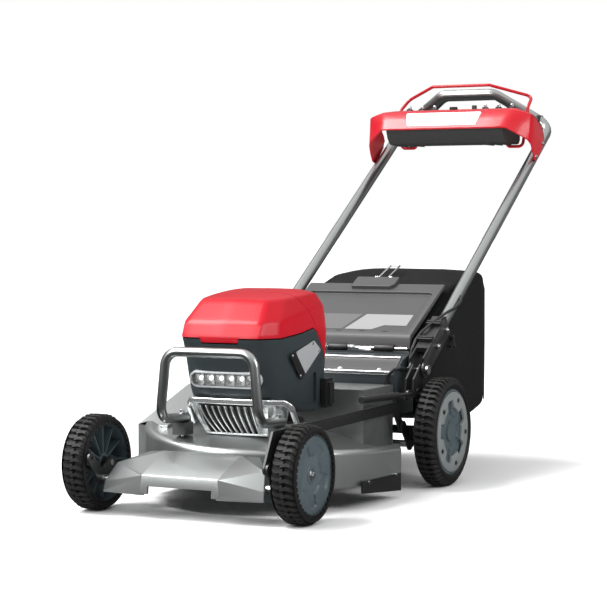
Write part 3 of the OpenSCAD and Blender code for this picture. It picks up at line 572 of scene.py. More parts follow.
def screw_head(place: Vector, axis: Vector, radius: float, height: float) -> bmesh.types.BMesh:
    """Make a hexagon head on a washer, standing on a place along an axis."""
    turn = Vector((0.0, 0.0, 1.0)).rotation_difference(axis).to_matrix().to_4x4()
    bm = bmesh.new()
    for size, low, tall, segments in ((radius * 1.45, 0.0, height * 0.25, 24), (radius, height * 0.25,
                                                                               height * 0.75, 6)):
        bmesh.ops.create_cone(bm, cap_ends=True, segments=segments, radius1=size, radius2=size * 0.94,
                              depth=tall, matrix=Matrix.Translation(place) @ turn
                              @ Matrix.Translation((0.0, 0.0, low + tall / 2)))
    return bm


def settle(bm: bmesh.types.BMesh, name: str, paint: Paint, body: str, stands_for: Sequence[str] = (),
           bevel: float = 0.0, segments: int = 2, levels: int = 0, sharp: float = 32.0
           ) -> bpy.types.Object:
    """Turn a mesh into a finished piece that moves with a body.

    Args:
        bm: The mesh, which is freed.
        name: The piece's name.
        paint: Its finish.
        body: The body that it moves with.
        stands_for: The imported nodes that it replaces.
        bevel: The width of its rounded edges, in metres.
        segments: Faces across each rounded edge.
        levels: Subdivision levels.
        sharp: The angle, in degrees, above which an edge stays crisp.

    Returns:
        The piece.
    """
    bmesh.ops.remove_doubles(bm, verts=bm.verts, dist=1e-6)
    bmesh.ops.recalc_face_normals(bm, faces=bm.faces)
    mesh = bpy.data.meshes.new(name)
    bm.to_mesh(mesh)
    bm.free()
    mesh.shade_smooth()
    mesh.set_sharp_from_angle(angle=math.radians(sharp))
    piece = bpy.data.objects.new(name, mesh)
    bpy.context.scene.collection.objects.link(piece)
    palette.dress(piece, paint)
    if bevel:
        round_edges = piece.modifiers.new("rounded_edges", "BEVEL")
        round_edges.width = bevel
        round_edges.segments = segments
        round_edges.limit_method = "ANGLE"
        round_edges.angle_limit = math.radians(sharp)
        round_edges.harden_normals = True
    if levels:
        smooth = piece.modifiers.new("smooth", "SUBSURF")
        smooth.levels = smooth.render_levels = levels
    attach(piece, body)
    if stands_for:
        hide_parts(*stands_for)
    log.info("%s: %d faces on %s", name, len(mesh.polygons), body)
    return piece


def copy_of(node: str) -> bmesh.types.BMesh:
    """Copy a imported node's mesh and join its loose triangles into flat faces."""
    bm = bmesh.new()
    bm.from_mesh(frame["nodes"][node].data)
    bmesh.ops.remove_doubles(bm, verts=bm.verts, dist=2e-6)
    bmesh.ops.dissolve_limit(bm, angle_limit=math.radians(1.2), verts=bm.verts, edges=bm.edges)
    return bm


def body_of(node: str) -> str:
    """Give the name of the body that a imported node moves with."""
    return frame["nodes"][node]["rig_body"]


def refined(node: str, paint: Paint, bevel: float, name: str | None = None,
            shape: Callable[[bmesh.types.BMesh], None] | None = None, sharp: float = 32.0
            ) -> bpy.types.Object:
    """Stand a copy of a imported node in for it, with rounded edges.

    Args:
        node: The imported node.
        paint: The copy's finish.
        bevel: The width of its rounded edges, in metres.
        name: The copy's name, or nothing for the node's name with an ending.
        shape: A change to the copy's mesh before it is settled.
        sharp: The angle, in degrees, above which an edge is rounded.

    Returns:
        The piece.
    """
    bm = copy_of(node)
    if shape:
        shape(bm)
    return settle(bm, name or node + "_part", paint, body_of(node), (node,), bevel, sharp=sharp)


@dataclass
class Assembly:
    """Pieces that are fitted together, measured from the datum."""

    datum: Datum

    def at(self, x: float, y: float, z: float) -> Vector:
        """Turn a place in millimetres into the frame's metres."""
        return self.datum.at(x, y, z)

    def prism(self, outline: Sequence[Sequence[float]], x0: float, x1: float) -> bmesh.types.BMesh:
        """Extrude a side view of (y, z) points across the mower, from x0 to x1."""
        return plate([self.at(x0, y, z) for y, z in outline], Vector(((x1 - x0) * MM, 0.0, 0.0)))

    def front_prism(self, outline: Sequence[Sequence[float]], y0: float, y1: float) -> bmesh.types.BMesh:
        """Extrude a front view of (x, z) points along the mower, from y0 to y1."""
        return plate([self.at(x, y0, z) for x, z in outline], Vector((0.0, (y1 - y0) * MM, 0.0)))

    def path(self, points: Iterable[Sequence[float]], elbow: float, closed: bool = False) -> Ring:
        """Round a path of places in millimetres."""
        return rounded([self.at(*p) for p in points], elbow * MM, closed=closed)


def smoothstep(low: float, high: float, value: float) -> float:
    """Ease from 0 to 1 as a value goes from low to high."""
    share = min(1.0, max(0.0, (value - low) / (high - low)))
    return share * share * (3.0 - 2.0 * share)


# ---------- running gear ----------
@dataclass
class Wheel(Assembly):
    """A wheel: its lugged tyre, its rim and its outer face."""

    end: str = "front"
    side: str = "right"
    pitch: float = 16.0
    lug_wide: float = 8.6
    lug_tall: float = 6.5
    arms: int = 5
    arm_turn: float = -90.0

    def build(self) -> None:
        """Build every piece of the wheel."""
        low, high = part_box(f"{self.end}_tyre_{self.side}")
        rim_low, rim_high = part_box(f"{self.end}_rim_{self.side}")
        self.centre = (low + high) / 2
        self.radius = (high.z - low.z) / 2
        self.half = (high.x - low.x) / 2
        self.bead = (rim_high.z - rim_low.z) / 2
        self.out = 1.0 if self.side == "right" else -1.0
        self.body = f"{self.end}_wheel_{self.side}"
        self.tyre()
        refined(f"{self.end}_rim_{self.side}", Paint.WHEEL_SLATE, 0.0008)
        if self.end == "front":
            self.front_face()
        else:
            self.rear_face()

    def on_wheel(self, out: float, radius: float, degrees: float) -> Vector:
        """Give a place by how far out it is, in metres, its radius and its angle."""
        turn = math.radians(degrees)
        return self.centre + Vector((self.out * out, radius * math.cos(turn), radius * math.sin(turn)))

    def tyre(self) -> None:
        """Build the carcass and its two staggered rows of lugs."""
        top, half = self.radius, self.half
        flank = [(half - 0.004, self.bead + 0.0002), (half, self.bead + 0.005),
                 (half - 0.0005, self.bead + 0.010), (half, top - 0.016), (half - 0.004, top - 0.0095),
                 (half - 0.012, top - 0.0068)]
        profile = flank + [(-a, r) for a, r in reversed(flank)]
        parts = [lathe(profile, self.centre, X_AXIS, steps=96)]
        count = round(math.tau * top / (self.pitch * MM))
        for row in (-1.0, 1.0):
            lug = self.lug(row)
            for k in range(count):
                turned = lug.copy()
                angle = math.tau * (k + (0.25 if row > 0 else -0.25)) / count
                bmesh.ops.rotate(turned, verts=turned.verts, cent=self.centre,
                                 matrix=Matrix.Rotation(angle, 3, "X"))
                parts.append(turned)
            lug.free()
        settle(unite(parts), f"{self.end}_tread_{self.side}", Paint.TYRE, self.body,
               (f"{self.end}_tyre_{self.side}",), sharp=40.0)

    def lug(self, row: float) -> bmesh.types.BMesh:
        """Build one bowed lug that runs from the middle of the tread over the shoulder."""
        bm = bmesh.new()
        bmesh.ops.create_cube(bm, size=1.0)
        along = [e for e in bm.edges if abs(e.verts[0].co.x - e.verts[1].co.x) > 0.5]
        bmesh.ops.subdivide_edges(bm, edges=along, cuts=6)
        for vert in bm.verts:
            share = vert.co.x + 0.5
            top = vert.co.z > 0
            fall = 0.012 * max(0.0, share - 0.72) ** 1.5 / 0.28 ** 1.5
            reach = self.radius - (0.0 if top else self.lug_tall * MM * 1.5) - fall
            wide = self.lug_wide * MM * (0.40 if top else 0.56) * (1.0 - 0.25 * abs(share - 0.5))
            bow = 0.0050 * math.sin(math.pi * share) - 0.004 * share
            out = -0.003 + (self.half + 0.0026 - (0.0012 if top else 0.0)) * share
            vert.co = self.centre + Vector((row * out, math.copysign(wide, vert.co.y) + row * bow, reach))
        return bm

    def star(self, degrees: float, inner: float, outer: float) -> float:
        """Give the edge of a recess with square-ended arms, at an angle."""
        step = 360.0 / self.arms
        off = abs((degrees - self.arm_turn + step / 2) % step - step / 2)
        return outer + (inner - outer) * smoothstep(12.0, 19.0, off)

    def dish(self, name: str, radii: Sequence[float], depth: Callable[[float, float], float],
             face: float, paint: Paint, stands_for: Sequence[str] = ()) -> None:
        """Build a round face whose depth is a function of radius and angle.

        Args:
            name: The piece's name.
            radii: The radii, in metres, of the rings of points, from the middle outwards.
            depth: The depth below the face, in metres, at a radius and an angle.
            face: How far out the face lies, in metres.
            paint: Its finish.
            stands_for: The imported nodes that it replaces.
        """
        steps = 150
        rings = []
        for r in radii:
            angles = [360.0 * k / steps for k in range(steps)]
            rings.append([self.on_wheel(face - depth(r, a), r, a) for a in angles])
        rings.append([self.on_wheel(face - 0.006, radii[-1], 360.0 * k / steps) for k in range(steps)])
        settle(skin(rings), name, paint, self.body, stands_for, sharp=38.0)

    def front_face(self) -> None:
        """Build the dished outer face with its raised panels, and the axle's washer and nut."""
        low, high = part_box(f"front_disc_{self.side}")
        face = self.half - 0.0035
        rim = (high.z - low.z) / 2 - 0.0003
        step = 360.0 / self.arms

        def depth(radius: float, degrees: float) -> float:
            """Give the face's depth: a raised rim, recessed arms and a raised boss."""
            edge = self.star(degrees, 0.50 * rim, 0.84 * rim)
            inside = 1.0 - smoothstep(edge - 0.0022, edge + 0.0022, radius)
            panel = (degrees - self.arm_turn) % step / step
            tilt = 0.0010 * math.sin(math.tau * panel) * smoothstep(0.4 * rim, 0.7 * rim, radius)
            boss = 0.0040 * (1.0 - smoothstep(0.017, 0.021, radius))
            well = 0.0030 * (1.0 - smoothstep(0.011, 0.0125, radius))
            bowl = 0.0035 * (1.0 - smoothstep(0.2 * rim, 0.95 * rim, radius))
            return 0.0042 * inside + bowl - boss + well + tilt

        radii = [0.004, 0.0105] + [0.0115 + 0.0012 * k for k in range(10)]
        radii += [0.0235 + (rim - 0.0235) * k / 34 for k in range(35)]
        self.dish(f"front_face_{self.side}", radii, depth, face, Paint.WHEEL_SLATE,
                  (f"front_disc_{self.side}",))
        axis = X_AXIS * self.out
        nut = screw_head(self.on_wheel(face - 0.0045, 0.0, 0.0), axis, 0.0075, 0.006)
        settle(nut, f"front_nut_{self.side}", Paint.ZINC, self.body, bevel=0.0005)

    def rear_face(self) -> None:
        """Build the silver ring plate with its screws over the dark hub with its cap."""
        low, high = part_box(f"rear_ring_{self.side}")
        rim = (high.z - low.z) / 2
        face = self.half - 0.0015
        thick = high.x - low.x
        steps = 240
        angles = [360.0 * k / steps for k in range(steps)]
        inner = [self.star(a, 0.60 * rim, 0.80 * rim) for a in angles]
        rings = []
        for share, out in ((0.0, face - thick), (0.0, face - 0.0008), (0.03, face), (0.5, face + 0.0006),
                           (0.985, face), (1.0, face - 0.0012), (1.0, face - thick)):
            rings.append([self.on_wheel(out, r + (rim - r) * share, a) for r, a in zip(inner, angles)])
        settle(skin(rings, loop=True), f"rear_ring_plate_{self.side}", Paint.WHEEL_SILVER, self.body,
               (f"rear_ring_{self.side}",), sharp=40.0)

        def depth(radius: float, degrees: float) -> float:
            """Give the hub's depth: recessed arms, and a cap in the middle."""
            edge = self.star(degrees, 0.42 * rim, 0.86 * rim)
            inside = 1.0 - smoothstep(edge - 0.003, edge + 0.003, radius)
            cap = 0.010 * (1.0 - smoothstep(0.0215, 0.0235, radius))
            collar = 0.0035 * (1.0 - smoothstep(0.029, 0.033, radius))
            return 0.009 * inside - cap * 0.7 - collar

        radii = [0.006, 0.0195] + [0.0205 + 0.0011 * k for k in range(12)]
        radii += [0.0345 + (rim - 0.0375) * k / 30 for k in range(31)]
        self.dish(f"rear_hub_{self.side}", radii, depth, face - thick - 0.0006, Paint.WHEEL_SLATE)
        heads = []
        for k in range(self.arms):
            angle = self.arm_turn + 360.0 * (k + 0.5) / self.arms
            place = self.on_wheel(face + 0.0004, 0.82 * rim, angle)
            heads.append(screw_head(place, X_AXIS * self.out, 0.0042, 0.0025))
        settle(unite(heads), f"rear_ring_screws_{self.side}", Paint.BLACK_STEEL, self.body, bevel=0.0003)


@dataclass
class HeightGear(Assembly):
    """The axles, cranks, link and lever that set the height of cut."""

    def build(self) -> None:
        """Build the link, the cranks, the lever and their pins."""
        refined("height_link", Paint.BLACK_STEEL, 0.0012)
        refined("front_cranks", Paint.BLACK_STEEL, 0.0010)
        refined("rear_cranks", Paint.BLACK_STEEL, 0.0010)
        refined("height_lever", Paint.BLACK_STEEL, 0.0008)
        refined("lever_grip", Paint.BLACK, 0.0015)
        refined("drive_unit", Paint.BLACK, 0.0015)
        for node in ("front_axle", "rear_axle"):
            refined(node, Paint.ZINC, 0.0006)


# ---------- deck ----------
@dataclass
class Deck(Assembly):
    """The cast deck with its apron, skirts and guard."""

    spindle_y: float = 300.0
    lip: float = 50.0
    rim: float = 146.0
    bar_d: float = 21.0
    bar_x: float = 116.0

    def build(self) -> None:
        """Build every piece of the deck."""
        refined("deck", Paint.CASTING, 0.0016, "deck_casting", self.swirl, sharp=40.0)
        refined("deck_trim", Paint.BLACK, 0.0010)
        refined("front_apron", Paint.CASTING, 0.0012, "nose_casting", sharp=40.0)
        self.pad()
        refined("bull_bar_clamps", Paint.GREY, 0.0012)
        refined("chassis_screws", Paint.ZINC, 0.0005)
        self.guard()

    def rise(self, x: float, y: float) -> float:
        """Give how far the rim stands above its mean height in a direction from the spindle."""
        span = math.hypot(x, y - self.spindle_y) or 1.0
        right, ahead = x / span, (self.spindle_y - y) / span
        return -4.0 - 31.0 * right + 13.0 * right * right + 18.0 * right * ahead

    def swirl(self, bm: bmesh.types.BMesh) -> None:
        """Let the rim of the casting climb round the front, towards the tunnel."""
        for vert in bm.verts:
            place = self.datum.back(vert.co)
            if place.z > self.rim + 12.0:
                continue
            span = math.hypot(place.x, place.y - self.spindle_y)
            share = smoothstep(120.0, 225.0, span) * smoothstep(self.lip + 4.0, self.rim - 8.0, place.z)
            vert.co.z += self.rise(place.x, place.y) * share * MM

    def pad(self) -> None:
        """Raise a blank pad in the middle of the apron."""
        slope = 0.4227
        outline = [(-49, -38), (49, -38), (62, -8), (59, 17), (-59, 17), (-62, -8)]
        ring = rounded([self.at(x, y, 88.0 + (y + 75.0) * slope) for x, y in outline], 0.008, 6, True)
        settle(plate(ring, Vector((0.0, -0.0009, 0.0022))), "nose_pad", Paint.CASTING, body_of("front_apron"),
               bevel=0.0006)

    def guard(self) -> None:
        """Build the bent tube in front of the motor."""
        low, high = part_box("bull_bar")
        top = self.datum.back(high).z - self.bar_d / 2
        foot = self.datum.back(low).z + self.bar_d / 2
        rear = self.datum.back(high).y
        x = self.bar_x
        half = [(x, rear, foot), (x + 2.0, 50.0, foot + 6.0), (x - 12.0, 52.0, top)]
        points = [(-a, b, c) for a, b, c in half] + list(reversed(half))
        settle(tube(self.path(points, 32.0), self.bar_d / 2 * MM, 28), "guard_tube", Paint.TUBE,
               body_of("bull_bar"), ("bull_bar",))


# ---------- motor head ----------
@dataclass
class Head(Assembly):
    """The motor's cowl, the housing over it, the covers, the lamp and the battery."""

    lean: float = -0.31
    lamp_z: float = 275.0
    lamp_tall: float = 32.0
    lamp_wide: float = 166.0
    lamp_y: float = 119.0
    chips: int = 6
    fins: int = 9
    gap: float = 1.4
    housing_top: tuple = ((40, 364), (150, 364), (240, 372), (288, 380), (306, 372), (366, 300), (440, 300))
    lid_seam: tuple = ((232, 470), (372, 300))

    def build(self) -> None:
        """Build every piece of the head."""
        self.shells()
        self.lamp()
        self.cowl()
        self.side_plate()
        refined("cable_block", Paint.BLACK, 0.0012)
        refined("battery_bay", Paint.BLACK, 0.0010)
        refined("battery_pack", Paint.BLACK, 0.0020)
        refined("controller", Paint.CIRCUIT, 0.0006)
        refined("motor", Paint.BLACK_STEEL, 0.0012)

    def ring(self, half: Sequence[Sequence[float]]) -> Ring:
        """Mirror half a ring of places, which starts and ends on the middle, into a whole one."""
        right = [self.at(*p) for p in half]
        left = [self.at(-p[0], p[1], p[2]) for p in reversed(half[1:-1])]
        return right + left

    def form(self, inset: float = 0.0) -> bmesh.types.BMesh:
        """Build the smooth closed form that the housing and the covers share.

        Args:
            inset: How far the form is drawn in, in millimetres.

        Returns:
            The form.
        """
        g = inset
        rows = [
            [(0, 146, 226), (86, 149, 226), (108, 192, 220), (120, 258, 190), (120, 334, 190), (106, 368, 200),
             (0, 376, 200)],
            [(0, 131, 236), (89, 134, 236), (118, 182, 232), (125, 252, 205), (125, 340, 205), (110, 376, 215),
             (0, 384, 215)],
            [(0, 110, 300), (88, 115, 300), (121, 165, 300), (126, 250, 300), (126, 352, 300), (112, 384, 300),
             (0, 392, 300)],
            [(0, 88, 366), (92, 96, 366), (119, 148, 368), (126, 246, 372), (126, 352, 374), (117, 389, 374),
             (0, 400, 374)],
            [(0, 105, 398), (93, 112, 397), (115, 156, 400), (124, 240, 414), (122, 340, 428), (113, 386, 424),
             (0, 400, 428)],
            [(0, 156, 446), (80, 162, 444), (98, 206, 446), (106, 270, 452), (106, 338, 457), (98, 377, 448),
             (0, 393, 452)],
            [(0, 226, 461), (46, 230, 460), (62, 256, 462), (66, 290, 465), (62, 332, 467), (50, 358, 466),
             (0, 370, 467)]]
        rings = []
        for k, row in enumerate(rows):
            drop = g if k > 3 else 0.0
            rings.append(self.ring([(max(0.0, x - g) if x else 0.0, y + (g if y < 250 else -g), z - drop)
                                    for x, y, z in row]))
        bm = skin(rings)
        sharp_rows = {2: 0.0, 3: 0.6, 4: 0.85, 5: 0.9}
        marks = {tuple(round(c, 5) for c in p): k for k, ring in enumerate(rings) for p in ring}

        def row_crease(a: Vector, b: Vector) -> float:
            """Crease the edges that run along the sharp rows."""
            first, second = (marks[tuple(round(c, 5) for c in p)] for p in (a, b))
            if first == second:
                return sharp_rows.get(first, 0.0)
            front = self.datum.back((a + b) / 2).y < 190.0
            return 0.55 if front and min(first, second) >= 3 else 0.0

        crease(bm, row_crease)
        return smoothed(bm, 3)

    def above(self, lift: float) -> bmesh.types.BMesh:
        """Build the space above the housing's upper edge, raised by some millimetres."""
        edge = [(y, z + lift) for y, z in self.housing_top]
        space = self.prism([*edge, (440, 520), (40, 520)], -160, 160)
        tab = [(-52, 380), (-43, 354 + lift), (43, 354 + lift), (52, 380), (52, 420), (-52, 420)]
        return carve(space, self.front_prism(tab, 40, 200), "UNION")

    def behind(self, shift: float) -> bmesh.types.BMesh:
        """Build the space behind the lid's seam, moved back by some millimetres."""
        (y0, z0), (y1, z1) = self.lid_seam
        slope = (y1 - y0) / (z1 - z0)
        top, low = 530.0, 270.0
        return self.prism([(y0 + slope * (top - z0) + shift, top), (y0 + slope * (low - z0) + shift, low),
                           (460, low), (460, top)], -160, 160)

    def shells(self) -> None:
        """Build the housing, the fixed cover and the hinged lid."""
        housing = carve(self.form(), self.above(-self.gap), "DIFFERENCE")
        slot = [(-self.lamp_wide / 2 - 2, self.lamp_z - self.lamp_tall / 2 - 2),
                (self.lamp_wide / 2 + 2, self.lamp_z - self.lamp_tall / 2 - 2),
                (self.lamp_wide / 2 + 2, self.lamp_z + self.lamp_tall / 2 + 2),
                (-self.lamp_wide / 2 - 2, self.lamp_z + self.lamp_tall / 2 + 2)]
        corners3 = rounded([self.at(x, 40, z) for x, z in slot], (self.lamp_tall / 2 + 1) * MM, 10, True)
        hole = plate(corners3, Vector((0.0, 0.100, 0.0)))
        housing = carve(housing, hole, "DIFFERENCE")
        pocket_edge = ((232, 216), (262, 268), (306, 290), (306, 216))
        pocket = rounded([self.at(118, y, z) for y, z in pocket_edge], 0.008, 6, True)
        housing = carve(housing, plate(pocket, Vector((0.020, 0.0, 0.0))), "DIFFERENCE")
        settle(housing, "housing_shell", Paint.SLATE, body_of("body_housing"), ("body_housing",), 0.0012,
               sharp=36.0)
        upper = carve(self.form(), self.above(self.gap), "INTERSECT")
        cover = carve(upper.copy(), self.behind(-self.gap / 2), "DIFFERENCE")
        lid = carve(upper, self.behind(self.gap / 2), "INTERSECT")
        scoop = self.scoop()
        cover = carve(cover, scoop, "DIFFERENCE")
        settle(cover, "cover_shell", Paint.RED_SHELL, body_of("top_cover"), ("top_cover",), 0.0012, sharp=36.0)
        settle(lid, "lid_shell", Paint.RED_SHELL, body_of("battery_lid"), ("battery_lid",), 0.0012, sharp=36.0)

    def scoop(self) -> bmesh.types.BMesh:
        """Build the wedges that hollow the cover's shoulders."""
        parts = []
        for side in (-1.0, 1.0):
            corners3 = [self.at(side * x, y, z) for x, y, z in (
                (96, 142, 424), (126, 148, 424), (128, 226, 452), (104, 224, 458), (84, 170, 446))]
            parts.append(plate(corners3, Vector((side * 0.004, 0.0, 0.020))))
        return unite(parts)

    def on_front(self, x: float, z: float, out: float) -> Vector:
        """Give a place on the leaning front, raised outwards by some millimetres."""
        slope = math.hypot(1.0, self.lean)
        return self.at(x, self.lamp_y + (z - self.lamp_z) * self.lean - out / slope,
                       z + out * self.lean / slope)

    def stadium(self, wide: float, tall: float, out: float) -> Ring:
        """Give a round-ended outline on the leaning front."""
        half, high = wide / 2, tall / 2
        flat = [(-half, -high), (half, -high), (half, high), (-half, high)]
        return rounded([self.on_front(x, self.lamp_z + z, out) for x, z in flat], 0.999 * high * MM, 10, True)

    def lamp(self) -> None:
        """Build the lamp: its bezel, its reflector cells, its chips and its clear cover."""
        wide, tall = self.lamp_wide, self.lamp_tall
        rings = [self.stadium(wide + 3, tall + 3, -14), self.stadium(wide + 3, tall + 3, 1.2),
                 self.stadium(wide + 1, tall + 1, 2.4), self.stadium(wide - 4, tall - 4, 2.4),
                 self.stadium(wide - 6, tall - 6, 0.6), self.stadium(wide - 6, tall - 6, -14)]
        settle(skin(rings, loop=True), "lamp_bezel", Paint.BEZEL, body_of("headlight"), sharp=50.0)
        pitch = (wide - 20) / self.chips
        cells, chips = [], []
        back = skin([self.stadium(wide - 5.6, tall - 5.6, -13.5), self.stadium(wide - 5.6, tall - 5.6, -12)])
        cells.append(back)
        for k in range(self.chips):
            x = (k - (self.chips - 1) / 2) * pitch
            mid = pitch / 2 - 1.0
            high = tall / 2 - 4.0
            outer = [(x - mid, -high), (x + mid, -high), (x + mid, high), (x - mid, high)]
            inner = [(x - 5, -5), (x + 5, -5), (x + 5, 5), (x - 5, 5)]
            deep = [self.on_front(a, self.lamp_z + b, -11.5) for a, b in inner]
            shallow = [self.on_front(a, self.lamp_z + b, -1.5) for a, b in outer]
            rim = [self.on_front(a * 1.0, self.lamp_z + b, -12.0) for a, b in outer]
            cells.append(skin([rounded(deep, 0.002, 5, True), rounded(shallow, 0.003, 5, True),
                               rounded(rim, 0.003, 5, True)], caps=False))
            chip = bmesh.new()
            bmesh.ops.create_uvsphere(chip, u_segments=20, v_segments=12, radius=0.0046,
                                      matrix=Matrix.Translation(self.on_front(x, self.lamp_z, -9.0)))
            chips.append(chip)
        settle(unite(cells), "lamp_reflector", Paint.REFLECTOR, body_of("headlight"), ("headlight",), 0.0004)
        settle(unite(chips), "lamp_chips", Paint.LAMP, body_of("headlight"))
        lens = skin([self.stadium(wide - 6.4, tall - 6.4, 0.2), self.stadium(wide - 6.4, tall - 6.4, 1.6),
                     self.stadium(wide - 9, tall - 9, 2.0)])
        settle(lens, "lamp_cover", Paint.CLEAR, body_of("headlight"))

    def cowl_half(self, x: float, z: float, out: float = 0.0) -> Vector:
        """Give a place on the cowl's face, which bows forwards and draws in towards the deck."""
        fall = (236.0 - z) / 84.0
        y = 129.0 + 14.0 * fall + 28.0 * fall * fall + 0.0011 * x * x
        return self.at(x, y - out, z)

    def cowl(self) -> None:
        """Build the ribbed cowl: its dark core, its fins, its rim and its side pockets."""
        stations = [-96 + 8 * k for k in range(25)]
        levels = [232, 222, 210, 198, 186, 174, 164, 156, 152]
        rings = []
        for z in levels:
            shrink = 1.0 - 0.22 * ((232 - z) / 80.0) ** 1.6
            front = [self.cowl_half(x * shrink, z, -7.0) for x in stations]
            rings.append(front + [self.at(96 * shrink, 215, z), self.at(-96 * shrink, 215, z)])
        settle(skin(rings), "cowl_core", Paint.BLACK_STEEL, body_of("motor_cowl"), bevel=0.001)
        fins = []
        for k in range(self.fins):
            x = -72 + 126 * k / (self.fins - 1)
            line = []
            for j in range(13):
                share = j / 12
                z = 218 - 62 * share
                line.append((x * (1.0 - 0.20 * share ** 1.6) + 13 * share ** 1.3, z))
            rings = []
            for px, pz in line:
                wide = 3.6 if pz < 214 else 5.0
                rings.append([self.cowl_half(px - wide, pz, -6.0), self.cowl_half(px - wide * 0.45, pz, 1.0),
                              self.cowl_half(px + wide * 0.45, pz, 1.0), self.cowl_half(px + wide, pz, -6.0)])
            fins.append(skin(rings))
        settle(unite(fins), "cowl_fins", Paint.COWL, body_of("motor_cowl"), ("motor_cowl",), 0.0012,
               segments=3)
        self.cowl_rim()

    def cowl_rim(self) -> None:
        """Build the cowl's bright rim, its lower bowl and the pockets beside the fins."""
        parts = []
        half = [(0, 126, 229), (90, 128, 229), (113, 176, 226), (127, 186, 214), (128, 214, 172)]
        points = [(-x, y, z) for x, y, z in reversed(half[1:])] + half
        path = self.path(points, 18.0)
        rings = []
        for i, point in enumerate(path):
            ahead = (path[min(i + 1, len(path) - 1)] - path[max(i - 1, 0)]).normalized()
            up = Vector((0.0, 0.0, 1.0))
            out = ahead.cross(up).normalized()
            lift = out.cross(ahead).normalized()
            rings.append([point + out * a * MM + lift * b * MM for a, b in (
                (-6, 6), (1.5, 6.5), (3.2, 4.5), (3.2, -4.5), (1.5, -6.5), (-6, -6))])
        parts.append(skin(rings))
        for side in (-1.0, 1.0):
            inner, outer = 66.0 + (8 if side < 0 else 0), 92.0
            rings = []
            for j in range(9):
                z = 224 - 70 * j / 8
                draw = 1.0 - 0.20 * (j / 8) ** 1.6
                rings.append([self.cowl_half(side * inner * draw, z, -6.0),
                              self.cowl_half(side * (inner + 2) * draw, z, 0.5),
                              self.cowl_half(side * (inner + 9) * draw, z, -2.5),
                              self.cowl_half(side * outer * draw, z, 0.5),
                              self.at(side * (outer + 12) * draw, 150 + 44 * j / 8, z),
                              self.at(side * (outer + 22) * draw, 196 + 16 * j / 8, z),
                              self.at(side * (outer - 6) * draw, 210, z)])
            parts.append(skin(rings))
        bowl = []
        for z, draw, deep in ((158, 0.84, 0.5), (153, 0.80, 2.0), (151, 0.72, -6.0)):
            ring = [self.cowl_half(x * draw, z, deep) for x in range(-92, 93, 8)]
            bowl.append(ring + [self.at(92 * draw, 214, z), self.at(-92 * draw, 214, z)])
        parts.append(skin(bowl))
        settle(unite(parts), "cowl_rim", Paint.COWL, body_of("motor_cowl"), bevel=0.0012, segments=3)

    def side_plate(self) -> None:
        """Build the blank slanted plate on each side of the housing, with its dark end."""
        bright, dark, screws = [], [], []
        for side in (-1.0, 1.0):
            whole = [(175, 327), (289, 353), (323, 331), (225, 271)]
            cut = 0.22
            low = [whole[0], tuple(a + (b - a) * cut for a, b in zip(whole[0], whole[1])),
                   tuple(a + (b - a) * cut for a, b in zip(whole[3], whole[2])), whole[3]]
            high = [low[1], whole[1], whole[2], low[2]]
            for outline, parts in ((low, dark), (high, bright)):
                ring = rounded([self.at(side * 126.4, y, z) for y, z in outline], 0.004, 6, True)
                parts.append(plate(ring, Vector((side * 0.0018, 0.0, 0.0))))
            for y, z in ((186, 326), (224, 281), (282, 347), (310, 331)):
                screws.append(screw_head(self.at(side * 128.2, y, z), X_AXIS * side, 0.0026, 0.0016))
        settle(unite(bright), "side_badges", Paint.PLATE, body_of("body_housing"), bevel=0.0004)
        settle(unite(dark), "side_badge_ends", Paint.BLACK, body_of("body_housing"), bevel=0.0004)
        settle(unite(screws), "side_badge_screws", Paint.ZINC, body_of("body_housing"), bevel=0.0002)


# ---------- cutting gear ----------
@dataclass
class Cutter(Assembly):
    """The blade on its spindle."""

    def build(self) -> None:
        """Build the blade, the spindle and the bolt."""
        refined("blade", Paint.BLADE, 0.0006)
        refined("spindle", Paint.ZINC, 0.0006)
        refined("blade_bolt", Paint.ZINC, 0.0008)


